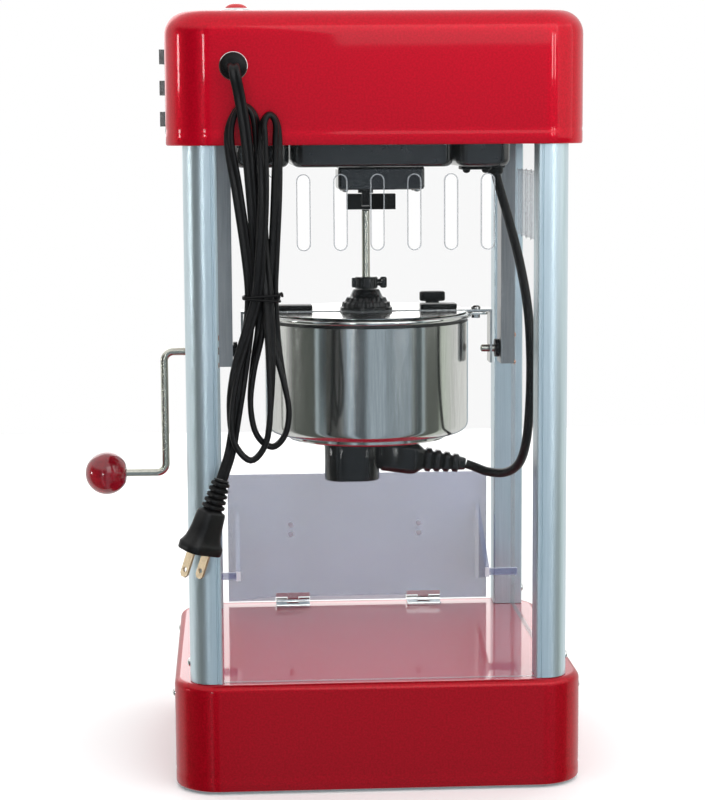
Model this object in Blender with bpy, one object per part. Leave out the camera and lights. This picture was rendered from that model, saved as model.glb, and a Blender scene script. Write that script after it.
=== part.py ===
"""A tabletop popcorn maker: red base and cap, four aluminium posts, clear walls, a tilting steel kettle.

+Z is up, the origin is on the ground below the middle of the base, the hopper door is at -Y and the
mains lead leaves at +Y. The crank stands out at +X.
"""

import math

import bmesh
import bpy
from mathutils import Matrix, Vector

MM = 0.001
GAP = 0.3 * MM

# Driving dimensions
WIDTH = 254 * MM
DEPTH = 240 * MM
HEIGHT = 478 * MM
CORNER_RADIUS = 28 * MM
SHEET = 1.6 * MM

FOOT_HEIGHT = 3 * MM
SKIRT_BOTTOM = 2 * MM
DECK_TOP = 69 * MM
DECK_ROUNDING = 4.5 * MM
CAP_BOTTOM = 398 * MM
CAP_ROUNDING = 14 * MM

POST_INNER_X = 97 * MM
POST_INNER_Y = 96 * MM
POST_SIZE = 20 * MM
POST_RADIUS = 14 * MM
POST_WALL = 1.5 * MM
POST_TOP = 412 * MM

PANEL = 3 * MM
SIDE_PANEL_X = 110.5 * MM
REAR_PANEL_Y = 110.5 * MM
SLOT_COUNT = 7
SLOT_PITCH = 22.3 * MM
SLOT_WIDTH = 7.3 * MM
SLOT_BOTTOM = 335 * MM
SLOT_TOP = 380 * MM

CEILING_Z = 400 * MM
PAN_BOTTOM = 384 * MM
PAN_WIDTH = 171 * MM
PAN_DEPTH = 150 * MM

PIVOT_Z = 263.5 * MM
PIN_RADIUS = 2.5 * MM
HANGER_X = 88 * MM
BRIDGE_END_X = 82.5 * MM
BRIDGE_BOTTOM = 288.3 * MM
BRIDGE_THICKNESS = 1.5 * MM
BRIDGE_WIDTH = 16 * MM

KETTLE_RADIUS = 67 * MM
KETTLE_WALL = 1.2 * MM
KETTLE_BOTTOM = 210 * MM
KETTLE_RIM = 288 * MM
KETTLE_CORNER = 12 * MM
HEATER_RADIUS = 53 * MM
LID_NOTCH = 22.5 * MM

SHAFT_RADIUS = 2.65 * MM
DOG_BOTTOM = 355.6 * MM
DOG_TOP = 365.7 * MM
GEARBOX_BOTTOM = 368.5 * MM
COLLAR_RADIUS = 7.7 * MM
COLLAR_Z = (303.8 * MM, 311.5 * MM)

DOOR_AXIS_Y = -108 * MM
DOOR_AXIS_Z = 71.7 * MM
DOOR_WIDTH = 186 * MM
DOOR_SHEET = 2.5 * MM
DOOR_TOP = 163.5 * MM
DOOR_CHEEK_Y = -46 * MM
DOOR_HINGE_X = 47 * MM
DOOR_HINGE_WIDTH = 24 * MM
HINGE_BARREL = 2 * MM

CRANK_X = 133 * MM
CRANK_DROP = 80 * MM
CRANK_BEND = 6 * MM
KNOB_RADIUS = 14 * MM
KNOB_X = 172 * MM

GLAND = Vector((85.7, 120, 444.7)) * MM
SWITCH_Y = 30 * MM
SWITCH_HEIGHTS = (453.2 * MM, 433.8 * MM, 414.4 * MM)
SWITCH_TRAVEL = math.radians(12)
PILOT = Vector((83.5, 84, 478)) * MM

CORD_RADIUS = 2.6 * MM
HANK_Y = (121.5 * MM, 135 * MM)
TIE_Z = 308 * MM
PLUG_TOP = Vector((95.8, 129, 198.8)) * MM
PLUG_TILT = math.radians(-18)
PLUG_ROLL = math.radians(222)
PLUG_LENGTH = 46 * MM
BLADE_TIP = 62.5 * MM
BLADE_OFFSET = 6.35 * MM

KETTLE_CORD_RADIUS = 2.6 * MM

CRIMSON = (0.58, 0.0, 0.022)
BLACK = (0.012, 0.012, 0.013)
STEEL = (0.72, 0.72, 0.71)


# Scene and materials

def clear_scene():
    for item in list(bpy.data.objects):
        bpy.data.objects.remove(item, do_unlink=True)


def material(name, colour, roughness, metallic=0.0, alpha=1.0):
    made = bpy.data.materials.new(name)
    made.use_nodes = True
    shader = made.node_tree.nodes["Principled BSDF"]
    shader.inputs["Base Color"].default_value = (*colour, 1.0)
    shader.inputs["Roughness"].default_value = roughness
    shader.inputs["Metallic"].default_value = metallic
    shader.inputs["Alpha"].default_value = alpha
    made.diffuse_color = (*colour, alpha)
    return made


def red_paint(name):
    return material(name, CRIMSON, 0.18)


def black_plastic(name, roughness=0.4):
    return material(name, BLACK, roughness)


def bright_steel(name, roughness=0.2):
    return material(name, STEEL, roughness, 1.0)


def aluminium(name):
    return material(name, (0.62, 0.68, 0.7), 0.38, 1.0)


def clear_plastic(name):
    return material(name, (0.86, 0.88, 0.93), 0.05, 0.0, 0.25)


def axis_at(name, place, parent=None):
    empty = bpy.data.objects.new(name, None)
    bpy.context.collection.objects.link(empty)
    empty["world"] = list(place)
    base = Vector(parent["world"]) if parent else Vector()
    empty.parent = parent
    empty.location = Vector(place) - base
    return empty


def add(name, mesh, finish, at=(0, 0, 0), parent=None, turn=(0, 0, 0)):
    """Link a mesh as a node. `at` is its place in the machine's frame, whatever its parent is."""
    piece = bpy.data.objects.new(name, mesh)
    bpy.context.collection.objects.link(piece)
    if finish:
        mesh.materials.append(finish)
    base = Vector(parent["world"]) if parent else Vector()
    piece.parent = parent
    piece.location = Vector(at) - base
    piece.rotation_euler = turn
    mesh.shade_smooth()
    mesh.set_sharp_from_angle(angle=math.radians(32))
    return piece


def boolean(piece, other_mesh, at, operation="DIFFERENCE", turn=(0, 0, 0), parent=None):
    """Cut or join another shape, which stays in the file as a hidden guide."""
    number = len(piece.modifiers)
    other = bpy.data.objects.new(f"{piece.name}_guide_{number}", other_mesh)
    bpy.context.collection.objects.link(other)
    other.parent = parent
    other.location = at
    other.rotation_euler = turn
    other.hide_render = True
    other.display_type = "WIRE"
    step = piece.modifiers.new(f"step_{number}", "BOOLEAN")
    step.operation = operation
    step.solver = "EXACT"
    step.object = other


def soften(piece, width, segments=2):
    bevel = piece.modifiers.new("soft_edges", "BEVEL")
    bevel.width = width
    bevel.segments = segments
    bevel.limit_method = "ANGLE"


# Mesh builders

def loft(rings, closed=False):
    """Skin equal-length rings in order. Open ends are capped, `closed` joins the last to the first."""
    mesh = bpy.data.meshes.new("loft")
    work = bmesh.new()
    rows = [[work.verts.new(point) for point in ring] for ring in rings]
    count = len(rows[0])
    pairs = list(zip(rows, rows[1:]))
    if closed:
        pairs.append((rows[-1], rows[0]))
    for low, high in pairs:
        for i in range(count):
            j = (i + 1) % count
            work.faces.new((low[i], low[j], high[j], high[i]))
    if not closed:
        work.faces.new(list(reversed(rows[0])))
        work.faces.new(rows[-1])
    bmesh.ops.recalc_face_normals(work, faces=work.faces)
    work.to_mesh(mesh)
    work.free()
    return mesh


def circle(radius, z, steps=24, centre=(0, 0)):
    turns = [2 * math.pi * i / steps for i in range(steps)]
    return [Vector((centre[0] + radius * math.cos(a), centre[1] + radius * math.sin(a), z)) for a in turns]


def rounded(width, depth, radius, z, steps=6, centre=(0, 0)):
    points = []
    for corner, (sx, sy) in enumerate(((1, 1), (-1, 1), (-1, -1), (1, -1))):
        cx = centre[0] + sx * (width / 2 - radius)
        cy = centre[1] + sy * (depth / 2 - radius)
        for i in range(steps + 1):
            angle = math.pi / 2 * (corner + i / steps)
            points.append(Vector((cx + radius * math.cos(angle), cy + radius * math.sin(angle), z)))
    return points


def turned(profile, steps=24):
    """A turned solid from (radius, z) pairs, capped at both ends."""
    return loft([circle(radius, z, steps) for radius, z in profile])


def tube_ring(outer, inner, low, high, steps=24):
    corners = ((outer, low), (outer, high), (inner, high), (inner, low))
    return loft([circle(radius, z, steps) for radius, z in corners], closed=True)


def box(low, high):
    (x0, y0, z0), (x1, y1, z1) = low, high
    square = ((x0, y0), (x1, y0), (x1, y1), (x0, y1))
    return loft([[Vector((x, y, z)) for x, y in square] for z in (z0, z1)])


def prism(outline, start, end, along="Y"):
    """Extrude a flat outline. Its pairs are (x, z) along Y, (y, z) along X and (x, y) along Z."""
    def place(pair, depth):
        a, b = pair
        return Vector({"X": (depth, a, b), "Y": (a, depth, b), "Z": (a, b, depth)}[along])

    return loft([[place(pair, depth) for pair in outline] for depth in (start, end)])


def arc(centre, radius, first, last, steps):
    """Points on an arc, with its angles in degrees."""
    angles = [math.radians(first + (last - first) * i / steps) for i in range(steps + 1)]
    return [(centre[0] + radius * math.cos(a), centre[1] + radius * math.sin(a)) for a in angles]


def smooth(points, parts, closed=False):
    """A Catmull-Rom curve through the points, with `parts` steps between each two."""
    points = [Vector(point) for point in points]
    count = len(points)

    def at(i):
        return points[i % count] if closed else points[max(0, min(count - 1, i))]

    curve = []
    for i in range(count if closed else count - 1):
        a, b, c, d = at(i - 1), at(i), at(i + 1), at(i + 2)
        for step in range(parts):
            t = step / parts
            curve.append(0.5 * (2 * b + (c - a) * t + (2 * a - 5 * b + 4 * c - d) * t * t
                                + (3 * b - a - 3 * c + d) * t ** 3))
    if not closed:
        curve.append(points[-1])
    return curve


def tube(name, points, radius, finish, resolution=2, parent=None):
    """A bent rod or cord, swept along a poly line."""
    curve = bpy.data.curves.new(name, "CURVE")
    curve.dimensions = "3D"
    curve.bevel_depth = radius
    curve.bevel_resolution = resolution
    curve.use_fill_caps = True
    line = curve.splines.new("POLY")
    line.points.add(len(points) - 1)
    base = Vector(parent["world"]) if parent else Vector()
    for knot, point in zip(line.points, points):
        knot.co = (*(Vector(point) - base), 1.0)
    curve.materials.append(finish)
    piece = bpy.data.objects.new(name, curve)
    piece.parent = parent
    bpy.context.collection.objects.link(piece)
    return piece


def rod(radius, start, end, steps=16):
    """A straight round bar as a mesh along X, for pins and for cutting their holes."""
    turns = [2 * math.pi * i / steps for i in range(steps)]
    return loft([[Vector((x, radius * math.cos(a), radius * math.sin(a))) for a in turns]
                 for x in (start, end)])


# Base

def quarter(radius, steps):
    """(inset, drop) pairs round a rounded edge, from the top face to the side."""
    angles = [math.pi / 2 * i / steps for i in range(steps + 1)]
    return [(radius * (1 - math.sin(a)), radius * (1 - math.cos(a))) for a in angles]


def open_box(top, bottom, rounding, steps):
    """Rings of a sheet cover that is closed above and open below."""
    def ring(inset, z):
        return rounded(WIDTH - 2 * inset, DEPTH - 2 * inset, max(CORNER_RADIUS - inset, MM), z)

    outside = [ring(inset, top - drop) for inset, drop in quarter(rounding, steps)]
    inner_rounding = rounding - SHEET
    inside = [ring(inset + SHEET, top - SHEET - drop) for inset, drop in quarter(inner_rounding, steps)]
    return outside + [ring(0, bottom), ring(SHEET, bottom)] + inside[::-1]


def make_base():
    add("base_shell", loft(open_box(DECK_TOP, SKIRT_BOTTOM, DECK_ROUNDING, 3)), red_paint("base_paint"))
    inset = SHEET + GAP
    plate = [rounded(WIDTH - 2 * inset, DEPTH - 2 * inset, CORNER_RADIUS - inset, z)
             for z in (FOOT_HEIGHT + GAP, FOOT_HEIGHT + GAP + 1.5 * MM)]
    add("bottom_plate", loft(plate), material("bottom_plate_zinc", (0.55, 0.56, 0.57), 0.45, 1.0))
    foot = [(6.5 * MM, 0), (8 * MM, 1 * MM), (8 * MM, FOOT_HEIGHT)]
    for end, y in (("front", -88 * MM), ("rear", 88 * MM)):
        for side, x in (("left", -95 * MM), ("right", 95 * MM)):
            name = f"foot_{end}_{side}"
            add(name, turned(foot, 16), material(f"{name}_rubber", (0.02, 0.02, 0.02), 0.8), (x, y, 0))


# Posts and clear walls

def post_outline(inset, sx, sy):
    low_x, low_y = POST_INNER_X + inset, POST_INNER_Y + inset
    high_x = POST_INNER_X + POST_SIZE - inset
    high_y = POST_INNER_Y + POST_SIZE - inset
    centre = (POST_INNER_X + POST_SIZE - POST_RADIUS, POST_INNER_Y + POST_SIZE - POST_RADIUS)
    curve = arc(centre, POST_RADIUS - inset, 0, 90, 6)
    outline = [(low_x, low_y), (high_x, low_y), *curve, (low_x, high_y)]
    return [(sx * x, sy * y) for x, y in outline]


def make_posts():
    low, high = DECK_TOP + GAP, POST_TOP
    for end, sy in (("front", -1), ("rear", 1)):
        for side, sx in (("left", -1), ("right", 1)):
            rings = [[Vector((x, y, z)) for x, y in post_outline(inset, sx, sy)]
                     for inset, z in ((0, low), (0, high), (POST_WALL, high), (POST_WALL, low))]
            name = f"post_{end}_{side}"
            add(name, loft(rings, closed=True), aluminium(f"{name}_anodised"))


def slot_outline(centre):
    radius = SLOT_WIDTH / 2
    return (arc((centre, SLOT_TOP - radius), radius, 0, 180, 6)
            + arc((centre, SLOT_BOTTOM + radius), radius, 180, 360, 6))


def make_panels():
    low, high = DECK_TOP + GAP, POST_TOP - 2 * MM
    half = PANEL / 2
    wide = POST_INNER_X - GAP
    deep = POST_INNER_Y - GAP
    places = [(i - (SLOT_COUNT - 1) / 2) * SLOT_PITCH for i in range(SLOT_COUNT)]
    rear = add("rear_panel", box((-wide, REAR_PANEL_Y - half, low), (wide, REAR_PANEL_Y + half, high)),
               clear_plastic("rear_panel_clear"))
    for centre in places:
        boolean(rear, prism(slot_outline(centre), REAR_PANEL_Y - PANEL, REAR_PANEL_Y + PANEL), (0, 0, 0))
    for side, sx in (("left", -1), ("right", 1)):
        near, far = sorted((sx * (SIDE_PANEL_X - half), sx * (SIDE_PANEL_X + half)))
        panel = add(f"side_panel_{side}", box((near, -deep, low), (far, deep, high)),
                    clear_plastic(f"side_panel_{side}_clear"))
        for centre in places:
            cutter = prism(slot_outline(centre), near - MM, far + MM, "X")
            boolean(panel, cutter, (0, 0, 0))
        if side == "right":
            boolean(panel, rod(5 * MM, near - MM, far + MM), (0, 0, PIVOT_Z))


# Cap, ceiling and drive

def make_cap():
    cap = add("cap_shell", loft(open_box(HEIGHT, CAP_BOTTOM, CAP_ROUNDING, 5)), red_paint("cap_paint"))
    gland_hole = turned([(6 * MM, -5 * MM), (6 * MM, 5 * MM)], 16)
    boolean(cap, gland_hole, GLAND, turn=(math.pi / 2, 0, 0))
    pilot_hole = turned([(5.2 * MM, -5 * MM), (5.2 * MM, 5 * MM)], 16)
    boolean(cap, pilot_hole, PILOT)
    for z in SWITCH_HEIGHTS:
        window = box((WIDTH / 2 - 5 * MM, SWITCH_Y - 9.6 * MM, z - 5.6 * MM),
                     (WIDTH / 2 + 5 * MM, SWITCH_Y + 9.6 * MM, z + 5.6 * MM))
        boolean(cap, window, (0, 0, 0))


def make_ceiling():
    plate = [rounded(190 * MM, 186 * MM, 4 * MM, z, 3) for z in (CEILING_Z, CEILING_Z + 1.5 * MM)]
    add("ceiling_plate", loft(plate), material("ceiling_zinc", (0.5, 0.5, 0.5), 0.4, 1.0))
    outside = [rounded(PAN_WIDTH - 2 * inset, PAN_DEPTH - 2 * inset, 8 * MM, PAN_BOTTOM + drop)
               for inset, drop in quarter(4 * MM, 3)]
    wall = 1.5 * MM
    top = CEILING_Z - GAP
    inner = [rounded(PAN_WIDTH - 2 * wall, PAN_DEPTH - 2 * wall, 6.5 * MM, z)
             for z in (top, PAN_BOTTOM + 4 * MM)]
    rim = [rounded(PAN_WIDTH, PAN_DEPTH, 8 * MM, top)]
    floor = [rounded(PAN_WIDTH - 10 * MM, PAN_DEPTH - 10 * MM, 5 * MM, PAN_BOTTOM + wall)]
    pan = add("ceiling_pan", loft(outside + rim + inner + floor), black_plastic("pan_gloss", 0.12))
    for x in (51 * MM, -51 * MM):
        groove = box((x - 0.8 * MM, -PAN_DEPTH, PAN_BOTTOM - MM),
                     (x + 0.8 * MM, PAN_DEPTH, PAN_BOTTOM + 0.8 * MM))
        boolean(pan, groove, (0, 0, 0))


def make_drive():
    block = box((-37.6 * MM, -22 * MM, GEARBOX_BOTTOM), (18.6 * MM, 14 * MM, PAN_BOTTOM - GAP))
    gearbox = add("gearbox", block, black_plastic("gearbox_plastic", 0.3))
    soften(gearbox, 2 * MM)
    top = CEILING_Z + 1.5 * MM + GAP
    can_height = 36 * MM
    can = [(27 * MM, top), (27 * MM, top + can_height - 3 * MM), (24 * MM, top + can_height),
           (8 * MM, top + can_height), (8 * MM, top + can_height + 4 * MM)]
    add("motor", turned(can), bright_steel("motor_zinc", 0.4), (-8 * MM, 0, 0))
    motor_axis = axis_at("motor_axis", (0, 0, DOG_TOP))
    boss_bottom = DOG_TOP + 0.6 * MM
    boss = turned([(5 * MM, boss_bottom), (5 * MM, GEARBOX_BOTTOM - GAP)], 16)
    tongue = add("drive_tongue", boss, black_plastic("tongue_plastic"), parent=motor_axis)
    blade = box((-2.4 * MM, -4.5 * MM, DOG_BOTTOM + 2.4 * MM), (2.4 * MM, 4.5 * MM, boss_bottom + MM))
    boolean(tongue, blade, (0, 0, 0), "UNION")


# Hangers and the tilt pivot

def make_hangers():
    low, high = 254 * MM, CEILING_Z - GAP
    half = 10 * MM
    sheet = 1.5 * MM
    for side, sx in (("left", -1), ("right", 1)):
        x0, x1, x2 = (sx * x for x in (HANGER_X, HANGER_X + sheet, HANGER_X + 9 * MM))
        outline = [(x0, -half), (x1, -half), (x1, half - sheet), (x2, half - sheet), (x2, half), (x0, half)]
        hanger = add(f"hanger_{side}", prism(outline, low, high, "Z"),
                     bright_steel(f"hanger_{side}_steel", 0.35))
        boolean(hanger, rod(4 * MM, x0 - sx * MM, x1 + sx * MM), (0, 0, PIVOT_Z))
        add(f"pivot_bush_{side}", bush(sx), black_plastic(f"bush_{side}_nylon"), (0, 0, PIVOT_Z))


def bush(sx):
    """A flanged sleeve in the hanger's hole, as rings round X."""
    flange, stem, bore = 6 * MM, 3.7 * MM, PIN_RADIUS + 0.4 * MM
    near, far, face = HANGER_X - 3 * MM, HANGER_X + 3 * MM, HANGER_X - GAP
    profile = [(bore, near), (flange, near), (flange, face), (stem, face), (stem, far), (bore, far)]
    turns = [2 * math.pi * i / 16 for i in range(16)]
    return loft([[Vector((sx * x, radius * math.cos(a), radius * math.sin(a))) for a in turns]
                 for radius, x in profile], closed=True)


# Kettle, which tilts about the X axis through its pins

def kettle_rings():
    """From the middle of the bowl's floor up its inside, over the rolled rim and down its outside."""
    bend = quarter(KETTLE_CORNER, 4)
    inner = [(KETTLE_RADIUS - KETTLE_WALL - inset, KETTLE_BOTTOM + KETTLE_WALL + drop)
             for inset, drop in bend]
    brim = KETTLE_RADIUS + 2 * MM
    rim = [(KETTLE_RADIUS - KETTLE_WALL, KETTLE_RIM), (brim, KETTLE_RIM), (brim, KETTLE_RIM - 2 * MM),
           (KETTLE_RADIUS, KETTLE_RIM - 2.5 * MM)]
    outer = [(KETTLE_RADIUS - inset, KETTLE_BOTTOM + drop) for inset, drop in reversed(bend)]
    return [circle(radius, z, 40) for radius, z in inner + rim + outer]


def make_kettle(tilt):
    kettle = add("kettle_shell", loft(kettle_rings()), bright_steel("kettle_polished", 0.12), parent=tilt)
    for sx in (-1, 1):
        near, far = sorted((sx * 67.5 * MM, sx * 79 * MM))
        ear = box((near, -9 * MM, KETTLE_RIM - 1.7 * MM), (far, 9 * MM, KETTLE_RIM - 0.1 * MM))
        boolean(kettle, ear, (0, 0, 0), "UNION")


def make_bridge(tilt):
    """The strap over the bowl, whose ends come down to the pivots."""
    top = BRIDGE_BOTTOM + BRIDGE_THICKNESS
    inner = BRIDGE_END_X - BRIDGE_THICKNESS
    tip = PIVOT_Z - 9 * MM
    outline = [(-BRIDGE_END_X, tip), (-BRIDGE_END_X, top), (BRIDGE_END_X, top), (BRIDGE_END_X, tip),
               (inner, tip), (inner, BRIDGE_BOTTOM), (-inner, BRIDGE_BOTTOM), (-inner, tip)]
    bridge = add("kettle_bridge", prism(outline, -BRIDGE_WIDTH / 2, BRIDGE_WIDTH / 2),
                 bright_steel("bridge_steel", 0.3), parent=tilt)
    boolean(bridge, rod(PIN_RADIUS + GAP, -WIDTH / 2, WIDTH / 2), (0, 0, PIVOT_Z))
    hole = turned([(6 * MM, BRIDGE_BOTTOM - 5 * MM), (6 * MM, top + 5 * MM)], 16)
    boolean(bridge, hole, (0, 0, 0))


def make_hub(tilt):
    """The shaft's bearing: a housing on the bridge and its nut below."""
    bore = SHAFT_RADIUS + 0.4 * MM
    low = BRIDGE_BOTTOM + BRIDGE_THICKNESS + GAP
    hub = [(bore, low), (17.2 * MM, low), (17.2 * MM, low + 4.5 * MM), (14 * MM, low + 7 * MM),
           (9.5 * MM, low + 11.5 * MM), (8.2 * MM, low + 13.3 * MM), (bore, low + 13.3 * MM)]
    add("hub_housing", loft([circle(r, z, 28) for r, z in hub], closed=True), black_plastic("hub_phenolic"),
        parent=tilt)
    high = BRIDGE_BOTTOM - GAP
    nut = [(bore, high), (bore, high - 5 * MM), (15.5 * MM, high - 5 * MM), (17 * MM, high - 3.6 * MM),
           (17 * MM, high)]
    add("hub_nut", loft([circle(r, z, 28) for r, z in nut], closed=True), black_plastic("hub_nut_phenolic"),
        parent=tilt)


def make_heater(tilt):
    top = KETTLE_BOTTOM - GAP
    bottom = top - 4 * MM
    cover = [(HEATER_RADIUS - 3 * MM, bottom), (HEATER_RADIUS, bottom + 1.5 * MM), (HEATER_RADIUS, top)]
    add("heater_cover", turned(cover, 36), bright_steel("heater_cover_steel", 0.3), parent=tilt)
    block = [rounded(36 * MM, 30 * MM, 12 * MM, z, centre=(10 * MM, 0))
             for z in (bottom - GAP - 28 * MM, bottom - GAP)]
    add("heater_socket", loft(block), black_plastic("socket_phenolic", 0.5), parent=tilt)


def make_connector(tilt):
    """The heater's lead plugs in from the side, with its strain relief drooping towards -X."""
    start = Vector((-9.8 * MM, 0, 193.5 * MM))
    droop = math.radians(-7.5)
    seat = axis_at("connector_axis", start, tilt)
    seat.rotation_euler = (0, droop, 0)
    stations = [(0, 21, 17), (22, 21, 17), (28, 13, 12), (32, 15, 13), (36, 11, 10), (42, 12, 11), (46, 9, 9),
                (50, 11, 10), (56, 8, 8)]
    rings = []
    for reach, wide, tall in stations:
        ring = rounded(wide * MM, tall * MM, min(wide, tall) * 0.3 * MM, 0, 3)
        rings.append([Vector((-reach * MM, point.x, point.y)) for point in ring])
    piece = add("heater_connector", loft(rings), black_plastic("connector_rubber", 0.5), start, seat)
    piece.location = (0, 0, 0)


def make_crank(tilt):
    low = PIVOT_Z - CRANK_DROP
    path = [(76 * MM, PIVOT_Z), *arc((CRANK_X - CRANK_BEND, PIVOT_Z - CRANK_BEND), CRANK_BEND, 90, 0, 5),
            *arc((CRANK_X + CRANK_BEND, low + CRANK_BEND), CRANK_BEND, 180, 270, 5),
            (KNOB_X - KNOB_RADIUS + 3 * MM, low)]
    tube("crank_rod", [(x, 0, z) for x, z in path], PIN_RADIUS, bright_steel("crank_zinc", 0.25), 3, tilt)
    add("crank_knob", knob_shape(), material("knob_red", (0.27, 0.004, 0.012), 0.12), (KNOB_X, 0, low), tilt,
        (0, math.pi / 2, 0))
    add("pivot_pin", rod(PIN_RADIUS, -96 * MM, -77 * MM), bright_steel("pivot_pin_zinc", 0.3),
        (0, 0, PIVOT_Z), tilt)


def knob_shape():
    """A ball with a flat where the rod enters its blind hole."""
    hole, core, blind = PIN_RADIUS + GAP, 0.6 * MM, -9 * MM
    flat = 66
    face = -KNOB_RADIUS * math.sin(math.radians(flat))
    ball = arc((0, 0), KNOB_RADIUS, -flat, 90, 10)
    profile = [(hole, face), *ball[:-1], (core, KNOB_RADIUS), (core, blind), (hole, blind)]
    return loft([circle(radius, z, 28) for radius, z in profile], closed=True)


def make_lids(tilt):
    """Two half-moon lids hinge along the bridge, and are notched round the hub."""
    bottom, top = KETTLE_RIM + GAP, KETTLE_RIM + GAP + MM
    radius = KETTLE_RADIUS - 0.5 * MM
    edge = BRIDGE_WIDTH / 2 + 0.8 * MM
    outer = math.degrees(math.asin(edge / radius))
    inner = math.degrees(math.asin(edge / LID_NOTCH))
    for end, sy in (("front", -1), ("rear", 1)):
        hinge = axis_at(f"{end}_lid_axis", (0, sy * edge, top), tilt)
        outline = [(x, sy * y) for x, y in arc((0, 0), radius, outer, 180 - outer, 20)
                   + arc((0, 0), LID_NOTCH, 180 - inner, inner, 8)]
        add(f"{end}_lid", prism(outline, bottom, top, "Z"), bright_steel(f"{end}_lid_steel", 0.15),
            parent=hinge)
        if end == "front":
            block = box((-55 * MM, -34 * MM, top + GAP), (-38 * MM, -26 * MM, top + 10 * MM))
            grip = add("lid_handle", block, black_plastic("lid_handle_phenolic"), parent=hinge)
            soften(grip, 1.5 * MM)


def make_agitator(tilt):
    spin = axis_at("agitator_axis", (0, 0, KETTLE_BOTTOM), tilt)
    bar = [(SHAFT_RADIUS, KETTLE_BOTTOM + 6 * MM), (SHAFT_RADIUS, DOG_BOTTOM - GAP)]
    add("agitator_shaft", turned(bar, 16), bright_steel("shaft_zinc", 0.25), parent=spin)
    dog = add("drive_dog", box((-19.2 * MM, -6 * MM, DOG_BOTTOM), (12.3 * MM, 6 * MM, DOG_TOP)),
              black_plastic("dog_plastic", 0.45), parent=spin)
    slot = box((-2.9 * MM, -10 * MM, DOG_BOTTOM + 2 * MM), (2.9 * MM, 10 * MM, DOG_TOP + MM))
    boolean(dog, slot, (0, 0, 0))
    make_collar(spin)
    make_stirrer(spin)


def make_collar(spin):
    """Clamps the shaft above the hub, with a wing screw towards -X."""
    collar = add("clamp_collar", tube_ring(COLLAR_RADIUS, SHAFT_RADIUS + GAP, *COLLAR_Z, 20),
                 black_plastic("collar_plastic"), parent=spin)
    half = [(-MM, 1.2 * MM), (3.4 * MM, 3.6 * MM), (6 * MM, 2.6 * MM)]
    middle = sum(COLLAR_Z) / 2
    wing = [(-x - COLLAR_RADIUS, middle + z) for x, z in half + [(x, -z) for x, z in reversed(half)]]
    boolean(collar, prism(wing, -1.1 * MM, 1.1 * MM), (0, 0, 0), "UNION")


def make_stirrer(spin):
    floor = KETTLE_BOTTOM + 2.2 * MM
    sleeve = tube_ring(5 * MM, SHAFT_RADIUS + GAP, floor + 4.8 * MM, floor + 12.8 * MM, 16)
    stirrer = add("stirrer", sleeve, bright_steel("stirrer_steel", 0.3), parent=spin)
    root, reach, strap = 4.2 * MM, 54 * MM, 2 * MM
    profile = [(root, floor + 11 * MM), (7 * MM, floor + 11 * MM), (12 * MM, floor + strap),
               (reach, floor + strap), (reach, floor), (10.5 * MM, floor), (root, floor + 8 * MM)]
    for sx in (1, -1):
        arm = [(sx * x, z) for x, z in profile]
        boolean(stirrer, prism(arm, -3 * MM, 3 * MM), (0, 0, 0), "UNION")


# Hopper door

def make_door():
    """A clear flap whose cheeks reach inwards and end in tabs that meet the front posts when it is open."""
    swing = axis_at("door_axis", (0, DOOR_AXIS_Y, DOOR_AXIS_Z))
    back = DOOR_AXIS_Y - 0.5 * MM
    half = DOOR_WIDTH / 2
    low = DOOR_AXIS_Z - 0.3 * MM
    door = add("front_door", box((-half, back - DOOR_SHEET, low), (half, back, DOOR_TOP)),
               clear_plastic("door_clear"), parent=swing)
    tab_low, tab_high = 100.5 * MM, 105.2 * MM
    cheek = [(back - MM, low + 14 * MM), (back - MM, DOOR_TOP - 21 * MM), (DOOR_CHEEK_Y, tab_high + MM),
             (DOOR_CHEEK_Y, tab_low - MM)]
    for sx in (-1, 1):
        near, far = sorted((sx * 84.5 * MM, sx * 87.5 * MM))
        boolean(door, prism(cheek, near, far, "X"), (0, 0, 0), "UNION")
        near, far = sorted((sx * 86 * MM, sx * 107 * MM))
        tab = box((near, DOOR_CHEEK_Y - 3 * MM, tab_low), (far, DOOR_CHEEK_Y - 0.2 * MM, tab_high))
        boolean(door, tab, (0, 0, 0), "UNION")
    reach = HINGE_BARREL + 0.6 * MM
    for centre in (-DOOR_HINGE_X, DOOR_HINGE_X):
        wide = DOOR_HINGE_WIDTH / 2 + 0.4 * MM
        notch = box((centre - wide, back - 2 * DOOR_SHEET, low - MM),
                    (centre + wide, back + DOOR_SHEET, DOOR_AXIS_Z + reach))
        boolean(door, notch, (0, 0, 0))
    for side, centre in (("left", -DOOR_HINGE_X), ("right", DOOR_HINGE_X)):
        make_hinge(side, centre, swing)


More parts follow.
